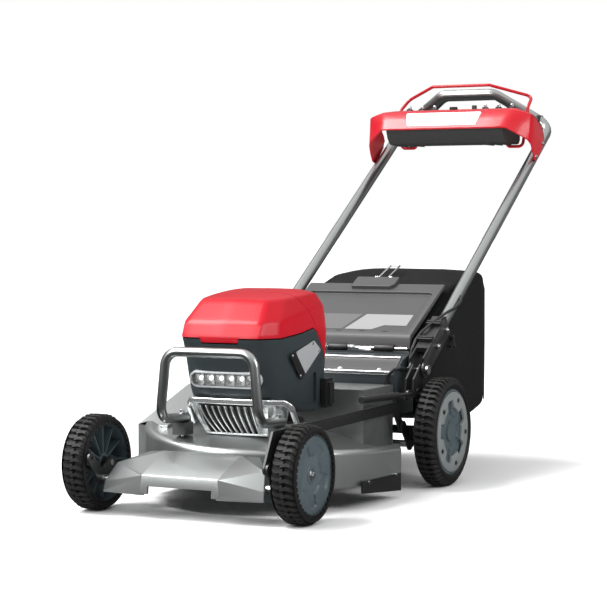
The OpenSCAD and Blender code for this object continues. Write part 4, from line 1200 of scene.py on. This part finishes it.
# ---------- rear ----------
@dataclass
class Rear(Assembly):
    """The bulkhead, the flap, the lugs and the catcher."""

    hinge: tuple[float, float] = (684.0, 313.0)
    flap_x: float = 182.0
    flap_low: tuple[float, float] = (690.0, 343.0)
    flap_high: tuple[float, float] = (905.0, 458.0)
    bag_x: float = 193.5
    wire: float = 2.5
    loop: tuple[float, float] = (949.0, 472.0)

    def build(self) -> None:
        """Build every piece at the rear."""
        refined("rear_bulkhead", Paint.SLATE, 0.0015)
        self.strips()
        refined("flap_hinge_rod", Paint.ZINC, 0.0005)
        self.flap()
        refined("handle_lugs", Paint.BLACK_STEEL, 0.0015)
        refined("fold_bolts", Paint.ZINC, 0.0006)
        self.cable()
        self.bag()
        refined("catcher_frame", Paint.BLACK, 0.0015)
        self.loop_handle()

    def strips(self) -> None:
        """Build the folded steel sheet over the bulkhead's sloping top, with its two bright lips."""
        body = body_of("rear_bulkhead")
        sheet = self.prism([(601, 264.6), (636, 292.6), (640, 293.6), (640, 292.0), (636.4, 290.6),
                            (602, 263.0)], -181, 181)
        settle(sheet, "bulkhead_sheet", Paint.GREY, body, bevel=0.0003)
        lips = []
        for y, z, wide in ((600.5, 263.5, 181.0), (638.0, 294.5, 181.0)):
            outline = ((-2.6, -5.5), (-2.6, 1.2), (-0.6, 3.0), (6.5, 4.2), (6.5, 1.6), (0.4, 0.6), (-0.2, -5.5))
            lips.append(self.prism([(y + a, z + b) for a, b in outline], -wide, wide))
        settle(unite(lips), "bulkhead_lips", Paint.ZINC, body, bevel=0.0006, segments=3)
        heads = [screw_head(self.at(x, 606, 268.4), Vector((0.0, -0.62, 0.78)), 0.0040, 0.003)
                 for x in (-150, -60, 40, 140)]
        settle(unite(heads), "bulkhead_screws", Paint.ZINC, body, bevel=0.0003)
        gusset = [(594.5, 236), (599.5, 259), (599.5, 236)]
        webs = [self.prism(gusset, side * 164 - 2, side * 164 + 2) for side in (-1, 1)]
        settle(unite(webs), "bulkhead_gussets", Paint.SLATE, body, bevel=0.0006)

    def on_flap(self, x: float, along: float, out: float) -> Vector:
        """Give a place on the flap: how far up its slope it is, and how far proud of it."""
        (y0, z0), (y1, z1) = self.flap_low, self.flap_high
        span = math.hypot(y1 - y0, z1 - z0)
        ey, ez = (y1 - y0) / span, (z1 - z0) / span
        return self.at(x, y0 + ey * along - ez * out, z0 + ez * along + ey * out)

    def flap_sheet(self, outline: Sequence[tuple[float, float]], elbow: float, low: float, high: float
                   ) -> bmesh.types.BMesh:
        """Build a flat piece on the flap from an outline of (x, along), between two heights."""
        ring = rounded([self.on_flap(x, a, low) for x, a in outline], elbow * MM, 8, True)
        lift = self.on_flap(0, 0, high) - self.on_flap(0, 0, low)
        return plate(ring, lift)

    def flap(self) -> None:
        """Build the flap with its sunken panel, its tab, its knuckles and two blank labels."""
        y, z = self.hinge
        body = body_of("rear_flap")
        side_view = [(y + 6, z - 4), (y + 6, 336), (y + 7.5, 341), (y + 11, 345.6), self.flap_high,
                     (self.flap_high[0] + 3, self.flap_high[1] - 8), (y + 18, 334), (y + 14, z - 4)]
        form = self.prism(side_view, -self.flap_x, self.flap_x)
        panel = self.flap_sheet([(-166, 24), (166, 24), (166, 203), (-166, 203)], 14.0, -7.0, 4.0)
        form = carve(form, panel, "DIFFERENCE")
        settle(form, "flap_shell", Paint.GREY, body, ("rear_flap",), 0.0022, segments=3)
        parts = []
        for x in (-120, 0, 120):
            knuckle = lathe([(-0.025, 0.0041), (0.025, 0.0041), (0.025, 0.0085), (0.0235, 0.009),
                             (-0.0235, 0.009), (-0.025, 0.0085)], self.at(x, y, z), X_AXIS, 40)
            parts += [knuckle, self.prism([(y + 5, z - 6), (y + 5, z + 6), (y + 9, z + 6), (y + 9, z - 6)],
                                          x - 22, x + 22)]
        settle(unite(parts), "flap_knuckles", Paint.BLACK, body, bevel=0.0005)
        tab = self.flap_sheet([(-57, 216), (47, 216), (57, 228), (57, 262), (-57, 262)], 3.0, -7.0, 9.0)
        settle(tab, "flap_tab", Paint.GREY, body, bevel=0.0020, segments=3)
        pale_edge = [(-4, 36), (66, 36), (92, 56), (150, 56), (150, 106), (28, 106)]
        pale = self.flap_sheet(pale_edge, 2.0, -6.9, -6.3)
        settle(pale, "flap_label", Paint.LABEL, body)
        grey = self.flap_sheet([(-152, 36), (-12, 36), (18, 106), (-152, 106)], 2.0, -6.9, -6.5)
        settle(grey, "flap_grey_label", Paint.GREY_LABEL, body)
        slots = [self.flap_sheet([(x - 7, 16), (x + 7, 16), (x + 7, 20), (x - 7, 20)], 1.0, -0.4, 0.15)
                 for x in (-130, -70, -10, 50, 110)]
        settle(unite(slots), "flap_slots", Paint.BLACK, body)
        self.springs()

    def springs(self) -> None:
        """Build the coiled springs on the hinge rod, with their straight legs."""
        y, z = self.hinge
        coils = []
        for middle in (-36, 36):
            turns, steps = 5, 14
            points = []
            for k in range(turns * steps + 1):
                angle = math.tau * k / steps
                points.append((middle - 9 + 18 * k / (turns * steps), y + 7.2 * math.cos(angle),
                               z + 7.2 * math.sin(angle)))
            points.append((middle + 9, y + 7.4, z - 8))
            coils.append(tube([self.at(*p) for p in points], 0.0013, 8))
        settle(unite(coils), "flap_springs", Paint.ZINC, body_of("flap_hinge_rod"))

    def cable(self) -> None:
        """Build the sheathed cable that climbs from the chassis over the fold and up the handle."""
        x = 189.4
        low = [(158, 593, 196), (160, 592, 232), (168, 592, 258), (180, 600, 271), (x, 612, 273),
               (x, 626, 270), (x, 640, 268), (x, 657.6, 268)]
        settle(tube(self.path(low, 14.0), 0.0036, 16), "frame_cable", Paint.CABLE, body_of("harness"),
               ("harness",))
        ribs = []
        for k in range(9):
            ribs.append(lathe([(-0.0012, 0.0034), (0.0012, 0.0034), (0.0008, 0.0050), (-0.0008, 0.0050)],
                              self.at(x, 616 + 4.2 * k, 272.6 - 0.62 * k), Vector((0.0, 1.0, -0.12)), 18))
        settle(unite(ribs), "frame_cable_boot", Paint.CABLE, body_of("harness"))

    def loop_handle(self) -> None:
        """Build the bright wire loop on the catcher's top."""
        y, z = self.loop
        points = [(-23, y, z), (-12.9, y, z), (-12.6, y + 74, z + 28), (12.6, y + 74, z + 28), (12.9, y, z),
                  (23, y, z)]
        settle(tube(self.path(points, 4.5), self.wire * MM, 16), "wire_loop", Paint.ZINC,
               body_of("carry_handle"), ("carry_handle",))

    def bag_shape(self, y: float) -> tuple[float, float]:
        """Give the height of the bag's underside and of its crest at a distance back."""
        top = [(716, 322), (760, 349), (902, 430), (918, 455), (980, 470), (1060, 491), (1110, 493),
               (1146, 487), (1170, 468)]
        low = [(716, 176), (724, 160), (776, 140), (900, 132), (1058, 124), (1110, 134), (1158, 146),
               (1170, 160)]

        def along(line: Sequence[tuple[float, float]]) -> float:
            """Read a height off a line of (y, z) points."""
            for (ya, za), (yb, zb) in zip(line, line[1:]):
                if y <= yb:
                    return za + (zb - za) * max(0.0, (y - ya) / (yb - ya))
            return line[-1][1]

        return along(low), along(top)

    def bag(self) -> None:
        """Build the sewn cloth bag, crowned between its seams, with piping along its rear edges."""
        body = body_of("grass_bag")
        rings = []
        for y in (716, 722, 740, 776, 830, 880, 902, 918, 950, 990, 1030, 1060, 1085, 1110, 1130, 1146,
                  1160, 1168, 1170):
            low, top = self.bag_shape(y)
            end = smoothstep(1138, 1170, y)
            half = self.bag_x - 9.0 * end - 3.0 * smoothstep(740, 716, y)
            rings.append(self.bag_ring(y, half, low, top, end))
        shell = skin(rings)
        shell = smoothed(shell, 1)
        self.slacken(shell)
        settle(shell, "bag_cloth", Paint.FABRIC, body, ("grass_bag",), levels=1, sharp=180.0)
        self.piping(body)

    def bag_ring(self, y: float, half: float, low: float, top: float, end: float) -> Ring:
        """Give one upright section through the bag: round corners, a crowned top and a slack floor."""
        corner = 16.0 + 6.0 * end
        crown = 5.0 if y > 918 else 1.0
        points = []
        for cx, cz, start in ((half - corner, top - corner - crown, 0.0), (-half + corner, top - corner - crown
                              - (9.0 if y > 940 else 0.0), 90.0), (-half + corner, low + corner, 180.0),
                              (half - corner, low + corner, 270.0)):
            for k in range(5):
                angle = math.radians(start + 22.5 * k)
                points.append((cx + corner * math.cos(angle), cz + corner * math.sin(angle)))
            if start == 0.0:
                points += [(half * f, top - crown * f * f) for f in (0.66, 0.33, 0.0, -0.33, -0.66)]
            elif start == 90.0:
                points += [(-half - 1.5 * math.sin(math.pi * f), cz + (low + corner - cz) * f)
                           for f in (0.25, 0.5, 0.75)]
            elif start == 180.0:
                points += [(-half * f, low - 3.0 * (1.0 - f * f) * (1.0 - end))
                           for f in (0.66, 0.33, 0.0, -0.33, -0.66)]
            else:
                points += [(half + 1.5 * math.sin(math.pi * f), cz + (top - corner - crown - cz) * f)
                           for f in (0.25, 0.5, 0.75)]
        return [self.at(x, y, z) for x, z in points]

    def slacken(self, bm: bmesh.types.BMesh) -> None:
        """Give the cloth its soft, shallow billows."""
        bmesh.ops.recalc_face_normals(bm, faces=bm.faces)
        bm.normal_update()
        moves = []
        for vert in bm.verts:
            place = self.datum.back(vert.co)
            broad = noise.noise(Vector((place.x * 0.011, place.y * 0.006, place.z * 0.009)))
            fine = noise.noise(Vector((place.x * 0.03 + 7.0, place.y * 0.016, place.z * 0.022)))
            inner = smoothstep(722, 780, place.y)
            moves.append(vert.normal * (2.2 * broad + 0.8 * fine - 1.2) * inner * MM)
        for vert, move in zip(bm.verts, moves):
            vert.co += move

    def piping(self, body: str) -> None:
        """Build the sewn piping that follows the bag's rear edges."""
        seams = []
        for side in (-1.0, 1.0):
            x = side * (self.bag_x - 5.5)
            drop = 9.0 if side < 0 else 0.0
            line = [(x, 1154, 158), (x, 1157, 300), (x, 1156, 440), (x - side * 5, 1150, 468 - drop)]
            seams.append(tube(self.path(line, 20.0), 0.0016, 10))
        settle(unite(seams), "bag_piping", Paint.FABRIC, body)


# ---------- handle ----------
@dataclass
class Handle(Assembly):
    """The loop handle with its console and controls."""

    fold: tuple[float, float] = (658.0, 268.0)
    slope: tuple[float, float] = (0.8368, 0.5476)
    half: float = 218.0
    corner: tuple[float, float] = (1569.24, 870.3)
    grip: tuple[float, float, float] = (75.0, 1519.24, 960.3)
    tube_r: float = 14.0
    bend: float = 42.0
    bail_pin: tuple[float, float] = (1468.24, 813.3)
    lever_pin: tuple[float, float] = (1565.24, 876.3)
    console: tuple[float, float] = (1327.24, 859.3)

    def build(self) -> None:
        """Build every piece of the handle."""
        self.loop()
        refined("handle_feet", Paint.BLACK_STEEL, 0.0015)
        self.foot_ribs()
        refined("handle_screws", Paint.ZINC, 0.0005)
        self.cable()
        refined("knob_left", Paint.BLACK, 0.0020)
        refined("knob_right", Paint.BLACK, 0.0020)
        self.shroud()
        self.badge()
        self.box()
        self.toggles()
        self.rods()
        refined("start_button", Paint.BLACK, 0.0015)
        refined("speed_slider", Paint.BLACK, 0.0010)

    def along(self, distance: float, lift: float = 0.0) -> tuple[float, float]:
        """Give a place (y, z) on the handle's straight tube, by its distance from the fold."""
        uy, uz = self.slope
        return self.fold[0] + distance * uy - lift * uz, self.fold[1] + 6.0 + distance * uz + lift * uy

    def loop(self) -> None:
        """Build the bent tube of the handle."""
        gx, gy, gz = self.grip
        points = [(self.half, *self.along(52.0)), (self.half, *self.corner), (gx, gy, gz)]
        whole = [(-x, y, z) for x, y, z in points] + list(reversed(points))
        path = self.path(whole, self.bend)
        settle(tube(path, self.tube_r * MM, 40), "handle_loop", Paint.TUBE, body_of("handle_tube"),
               ("handle_tube",))

    def foot_ribs(self) -> None:
        """Build the clamps that hold the cable on the right foot, and the bolts through the feet."""
        bolts = []
        for side in (-1.0, 1.0):
            for distance in (80.0, 145.0):
                y, z = self.along(distance)
                bolts.append(screw_head(self.at(side * 240.0, y, z), X_AXIS * side, 0.0050, 0.0045))
        settle(unite(bolts), "foot_bolts", Paint.ZINC, body_of("handle_feet"), bevel=0.0004)
        clips = []
        for distance in (66.0, 74.0, 128.0, 136.0):
            y, z = self.along(distance, 28.5)
            uy, uz = self.slope
            outline = [(y - 2.5 * uy, z - 2.5 * uz), (y + 2.5 * uy, z + 2.5 * uz),
                       (y + 2.5 * uy - 6 * uz, z + 2.5 * uz + 6 * uy), (y - 2.5 * uy - 6 * uz,
                                                                       z - 2.5 * uz + 6 * uy)]
            clips.append(self.prism(outline, 199, 236))
        settle(unite(clips), "foot_clips", Paint.BLACK, body_of("handle_feet"), bevel=0.0008)

    def cable(self) -> None:
        """Build the cable that climbs the right foot and ends in the tube."""
        spots = [(189.4, 0.0, -6.0), (189.4, 16.0, 4.0), (191, 40, 20), (194, 64, 30), (200, 92, 33.5),
                 (212, 124, 33.5), (224, 150, 33.0), (236, 178, 30), (243, 204, 22), (245, 230, 16),
                 (240, 256, 10), (230, 276, 6)]
        points = [(x, *self.along(d, h)) for x, d, h in spots]
        settle(tube(self.path(points, 16.0), 0.0034, 16), "climbing_cable", Paint.CABLE,
               body_of("handle_cable"), ("handle_cable",))

    def shroud(self) -> None:
        """Build the folded red sheet in front of the console, with its wings at the sides."""
        cy, cz = self.console
        edges = [((0, 37, 48), (0, 0, 0)), ((120, 37, 48), (112, 0, 0)), ((172, 37, 48), (160, 0, 0)),
                 ((186, 37.5, 47.5), (173, 0.5, -0.5)), ((194, 40, 46), (182, 4, -3)),
                 ((213, 46, 41), (206, 22, -18)), ((229, 52, 36), (228, 40, -33)),
                 ((234, 57, 34), (234, 48, -44)), ((235.5, 66, 31), (235.5, 60, -66)),
                 ((235.5, 84, 25), (235.5, 71, -83)), ((235.5, 108, 13), (235.5, 84, -87)),
                 ((235.5, 128, 2), (235.5, 98, -78)), ((235.5, 142, -11), (235.5, 126, -57)),
                 ((235.5, 149, -26), (235.5, 143, -42))]
        last = len(edges) - 1
        rings = []
        for k in range(-last, last + 1):
            side = -1.0 if k < 0 else 1.0
            (tx, ty, tz), (bx, by, bz) = edges[abs(k)]
            turn = smoothstep(2.5, 7.0, abs(k))
            back, fold = 56.0 * (1.0 - turn) + 1.0 - turn, 7.0 - 6.5 * smoothstep(1.0, 7.0, abs(k))
            outer = [self.at(side * (tx - 10.0 * (1.0 - turn)), cy + ty + back, cz + tz + 7.0 * (1.0 - turn)),
                     self.at(side * (tx - 1.5 * turn), cy + ty + 4.0 * (1.0 - turn), cz + tz + 1.0),
                     self.at(side * tx, cy + ty - 1.0, cz + tz - 2.0),
                     self.at(side * (tx + bx) / 2, cy + (ty + by) / 2, cz + (tz + bz) / 2),
                     self.at(side * bx, cy + by, cz + bz + 1.5),
                     self.at(side * (bx - 0.2), cy + by + 1.5, cz + bz - fold * 0.3)]
            inward = Vector((-side * turn, 1.0 - 0.95 * turn, -0.1)).normalized() * 0.0026
            under = Vector((-0.3 * side * turn, 0.0, -1.0)).normalized() * 0.0026 * (1.0 - 0.8 * turn)
            inner = [outer[0] + under + inward * turn, outer[1] + under + inward * turn,
                     outer[2] + under * 0.5 + inward, outer[3] + inward, outer[4] + inward, outer[5] + inward]
            rings.append(outer + list(reversed(inner)))
        settle(skin(rings), "console_shroud", Paint.RED_STEEL, body_of("console_plate"), ("console_plate",),
               sharp=50.0)
        bolts = []
        for side in (-1.0, 1.0):
            for y, z in ((1413, 782), (1466, 819)):
                bolts.append(screw_head(self.at(side * 235.0, y, z), X_AXIS * side, 0.0050, 0.0040))
        settle(unite(bolts), "console_bolts", Paint.ZINC, body_of("console_plate"), bevel=0.0004)

    def on_shroud(self, x: float, share: float, out: float) -> Vector:
        """Give a place on the shroud's front, by its share of the height, raised by some millimetres."""
        cy, cz = self.console
        back, rise = 33.0, 43.0
        span = math.hypot(back, rise)
        return self.at(x, cy + 2.0 + back * share - out * rise / span,
                       cz + 2.0 + rise * share + out * back / span)

    def badge(self) -> None:
        """Build the blank bright plate on the shroud, with a screw in each corner."""
        corners4 = [(-103, 0.13), (92, 0.13), (101, 0.95), (-116, 0.95)]
        ring = rounded([self.on_shroud(x, t, 0.1) for x, t in corners4], 0.004, 6, True)
        lift = self.on_shroud(0, 0, 1.5) - self.on_shroud(0, 0, 0.1)
        body = body_of("console_plate")
        settle(plate(ring, lift), "console_badge", Paint.PLATE, body, bevel=0.0004)
        axis = lift.normalized()
        heads = [screw_head(self.on_shroud(x, t, 1.4), axis, 0.0021, 0.0012)
                 for x, t in ((-96, 0.24), (85, 0.24), (92, 0.84), (-108, 0.84))]
        settle(unite(heads), "console_badge_screws", Paint.ZINC, body, bevel=0.0002)

    def box(self) -> None:
        """Build the moulded box behind the shroud, with its ribbed underside."""
        cy, cz = self.console
        side_view = [(cy + 7, cz + 2), (cy + 20, cz - 26), (cy + 34, cz - 40), (cy + 60, cz - 42),
                     (cy + 140, cz - 41), (cy + 149, cz - 30), (cy + 150, cz + 30), (cy + 94, cz + 50),
                     (cy + 46, cz + 43)]
        form = self.prism(side_view, -168, 168)
        body = body_of("console_box")
        settle(form, "console_case", Paint.CHARCOAL, body, ("console_box",), 0.0050, segments=4)
        feet = [self.prism([(cy + 52, cz - 44), (cy + 52, cz - 40), (cy + 120, cz - 40), (cy + 120, cz - 44)],
                           x - 3, x + 3) for x in (-150, -126, -102, 102, 126, 150)]
        settle(unite(feet), "console_ribs", Paint.CHARCOAL, body, bevel=0.0008)

    def toggles(self) -> None:
        """Build the two rows of small bright switches along the console's rear edge, and the lever's clips."""
        cy, cz = self.console
        body = body_of("console_box")
        tops, bases = [], []
        for x in (-137, -100, -63, 84, 122, 160):
            side_edge = [(cy + 99, cz + 44), (cy + 99, cz + 60), (cy + 117, cz + 56), (cy + 117, cz + 40)]
            bases.append(self.prism(side_edge, x - 8, x + 8))
            tops.append(lathe([(0.0, 0.0), (0.0, 0.0050), (0.0085, 0.0044), (0.0105, 0.0028), (0.0112, 0.0)],
                              self.at(x, cy + 106, cz + 57), Vector((0.0, -0.15, 1.0)).normalized(), 24))
        settle(unite(bases), "switch_bases", Paint.BLACK, body, bevel=0.0015)
        settle(unite(tops), "switch_tops", Paint.ZINC, body)
        clips = []
        for side in (-1.0, 1.0):
            x = side * 192.0
            y, z = self.corner[0] - 9.0, self.corner[1] + 16.0
            clip_edge = [(y - 15, z - 12), (y - 15, z + 14), (y + 13, z + 14), (y + 13, z - 12)]
            clips.append(self.prism(clip_edge, x - 7, x + 7))
        settle(unite(clips), "lever_clips", Paint.CHARCOAL, body_of("handle_tube"), bevel=0.0020)

    def rods(self) -> None:
        """Build the red bail with its lower loops and the bright drive lever."""
        cy, cz = self.console
        by, bz = self.bail_pin
        half = [(133, by, bz + 18), (133, by, bz), (177, by, bz), (186, cy + 157, cz + 60),
                (181, cy + 204, cz + 91), (82, cy + 137, cz + 121)]
        whole = [(-x, y, z) for x, y, z in half] + list(reversed(half))
        bail = tube(self.path(whole, 13.0), 0.0042, 18)
        settle(bail, "bail_rod", Paint.RED_STEEL, body_of("bail"), ("bail",))
        ly, lz = self.lever_pin
        gx, gy, gz = self.grip
        half = [(150, ly, lz), (172, ly, lz), (gx, gy + 23, gz - 12)]
        whole = [(-x, y, z) for x, y, z in half] + list(reversed(half))
        settle(tube(self.path(whole, 30.0), 0.0042, 18), "drive_rod", Paint.TUBE, body_of("drive_lever"),
               ("drive_lever",))


# ---------- studio ----------
@dataclass
class Studio(Assembly):
    """The camera, the lights and the pale floor."""

    eye: tuple[float, float, float] = (1960.0, -3470.2, 608.6)
    target: tuple[float, float, float] = (72.0, 350.0, 430.0)
    lens: float = 114.7
    floor_size: float = 60.0

    def build(self) -> None:
        """Build the studio."""
        self.camera()
        self.floor()
        self.lights()

    def camera(self) -> None:
        """Stand the camera where it sees the right front corner from near the ground."""
        data = bpy.data.cameras.new("camera")
        data.lens = self.lens
        data.sensor_width = 36.0
        data.clip_end = 200.0
        camera = bpy.data.objects.new("camera", data)
        bpy.context.scene.collection.objects.link(camera)
        camera.location = self.at(*self.eye)
        look = self.at(*self.target) - camera.location
        camera.rotation_euler = look.to_track_quat("-Z", "Y").to_euler()
        bpy.context.scene.camera = camera

    def floor(self) -> None:
        """Lay a pale floor."""
        bm = bmesh.new()
        bmesh.ops.create_grid(bm, x_segments=2, y_segments=2, size=self.floor_size)
        mesh = bpy.data.meshes.new("floor")
        bm.to_mesh(mesh)
        bm.free()
        floor = bpy.data.objects.new("floor", mesh)
        bpy.context.scene.collection.objects.link(floor)
        material = bpy.data.materials.new("pale_floor")
        material.use_nodes = True
        shader = material.node_tree.nodes["Principled BSDF"]
        shader.inputs["Base Color"].default_value = (0.93, 0.93, 0.93, 1.0)
        shader.inputs["Roughness"].default_value = 0.9
        shader.inputs["Specular IOR Level"].default_value = 0.1
        mesh.materials.append(material)
        floor.visible_glossy = False

    def lights(self) -> None:
        """Light the mower from a bright ceiling and a soft sun, in front of white."""
        world = bpy.data.worlds.new("white_room")
        world.use_nodes = True
        tree = world.node_tree
        room = tree.nodes["Background"]
        place = tree.nodes.new("ShaderNodeTexCoord")
        parts = tree.nodes.new("ShaderNodeSeparateXYZ")
        tree.links.new(place.outputs["Generated"], parts.inputs[0])
        ramp = tree.nodes.new("ShaderNodeValToRGB")
        tree.links.new(maths(tree, "MULTIPLY_ADD", parts.outputs["Z"], 0.5, 0.5), ramp.inputs[0])
        stops = ramp.color_ramp.elements
        stops[0].position, stops[1].position = 0.0, 1.0
        stops[0].color, stops[1].color = (0.10, 0.10, 0.10, 1.0), (1.0, 1.0, 1.0, 1.0)
        for height, tone in ((0.47, 0.08), (0.53, 0.30), (0.66, 0.16), (0.80, 0.75)):
            stops.new(height).color = (tone, tone, tone, 1.0)
        tree.links.new(ramp.outputs["Color"], room.inputs["Color"])
        white = tree.nodes.new("ShaderNodeBackground")
        white.inputs["Strength"].default_value = 1.0
        seen = tree.nodes.new("ShaderNodeLightPath")
        mix = tree.nodes.new("ShaderNodeMixShader")
        tree.links.new(seen.outputs["Is Camera Ray"], mix.inputs[0])
        tree.links.new(room.outputs[0], mix.inputs[1])
        tree.links.new(white.outputs[0], mix.inputs[2])
        white.inputs["Color"].default_value = (1.0, 1.0, 1.0, 1.0)
        tree.links.new(mix.outputs[0], tree.nodes["World Output"].inputs["Surface"])
        bpy.context.scene.world = world
        self.sun("high_sun", (-0.62, -0.30, 1.0), 3.0, 26.0)
        self.soft_box("key", (-1700.0, -2600.0, 2300.0), 2.4, 110.0)
        self.soft_box("side", (2800.0, 200.0, 1700.0), 1.2, 34.0)
        bpy.context.scene.view_settings.view_transform = "Standard"

    def sun(self, name: str, source: tuple[float, float, float], strength: float, angle: float) -> None:
        """Hang a soft sun that shines from a direction."""
        data = bpy.data.lights.new(name, "SUN")
        data.energy = strength
        data.angle = math.radians(angle)
        light = bpy.data.objects.new(name, data)
        bpy.context.scene.collection.objects.link(light)
        light.rotation_euler = (-Vector(source)).to_track_quat("-Z", "Y").to_euler()

    def soft_box(self, name: str, place: tuple[float, float, float], size: float, power: float) -> None:
        """Hang one square light that faces the mower."""
        data = bpy.data.lights.new(name, "AREA")
        data.size = size
        data.energy = power
        light = bpy.data.objects.new(name, data)
        bpy.context.scene.collection.objects.link(light)
        light.location = self.at(*place)
        look = self.at(0.0, 500.0, 300.0) - light.location
        light.rotation_euler = look.to_track_quat("-Z", "Y").to_euler()


def main() -> None:
    """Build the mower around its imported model."""
    logging.basicConfig(level=logging.INFO, format="%(message)s")
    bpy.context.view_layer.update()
    datum = Datum.from_frame()
    Studio(datum).build()
    Deck(datum).build()
    Head(datum).build()
    Cutter(datum).build()
    HeightGear(datum).build()
    for end in ("front", "rear"):
        for side in ("left", "right"):
            Wheel(datum, end, side, arm_turn=-90.0 if end == "front" else 31.0).build()
    Rear(datum).build()
    Handle(datum).build()


if __name__ == "__main__":
    main()
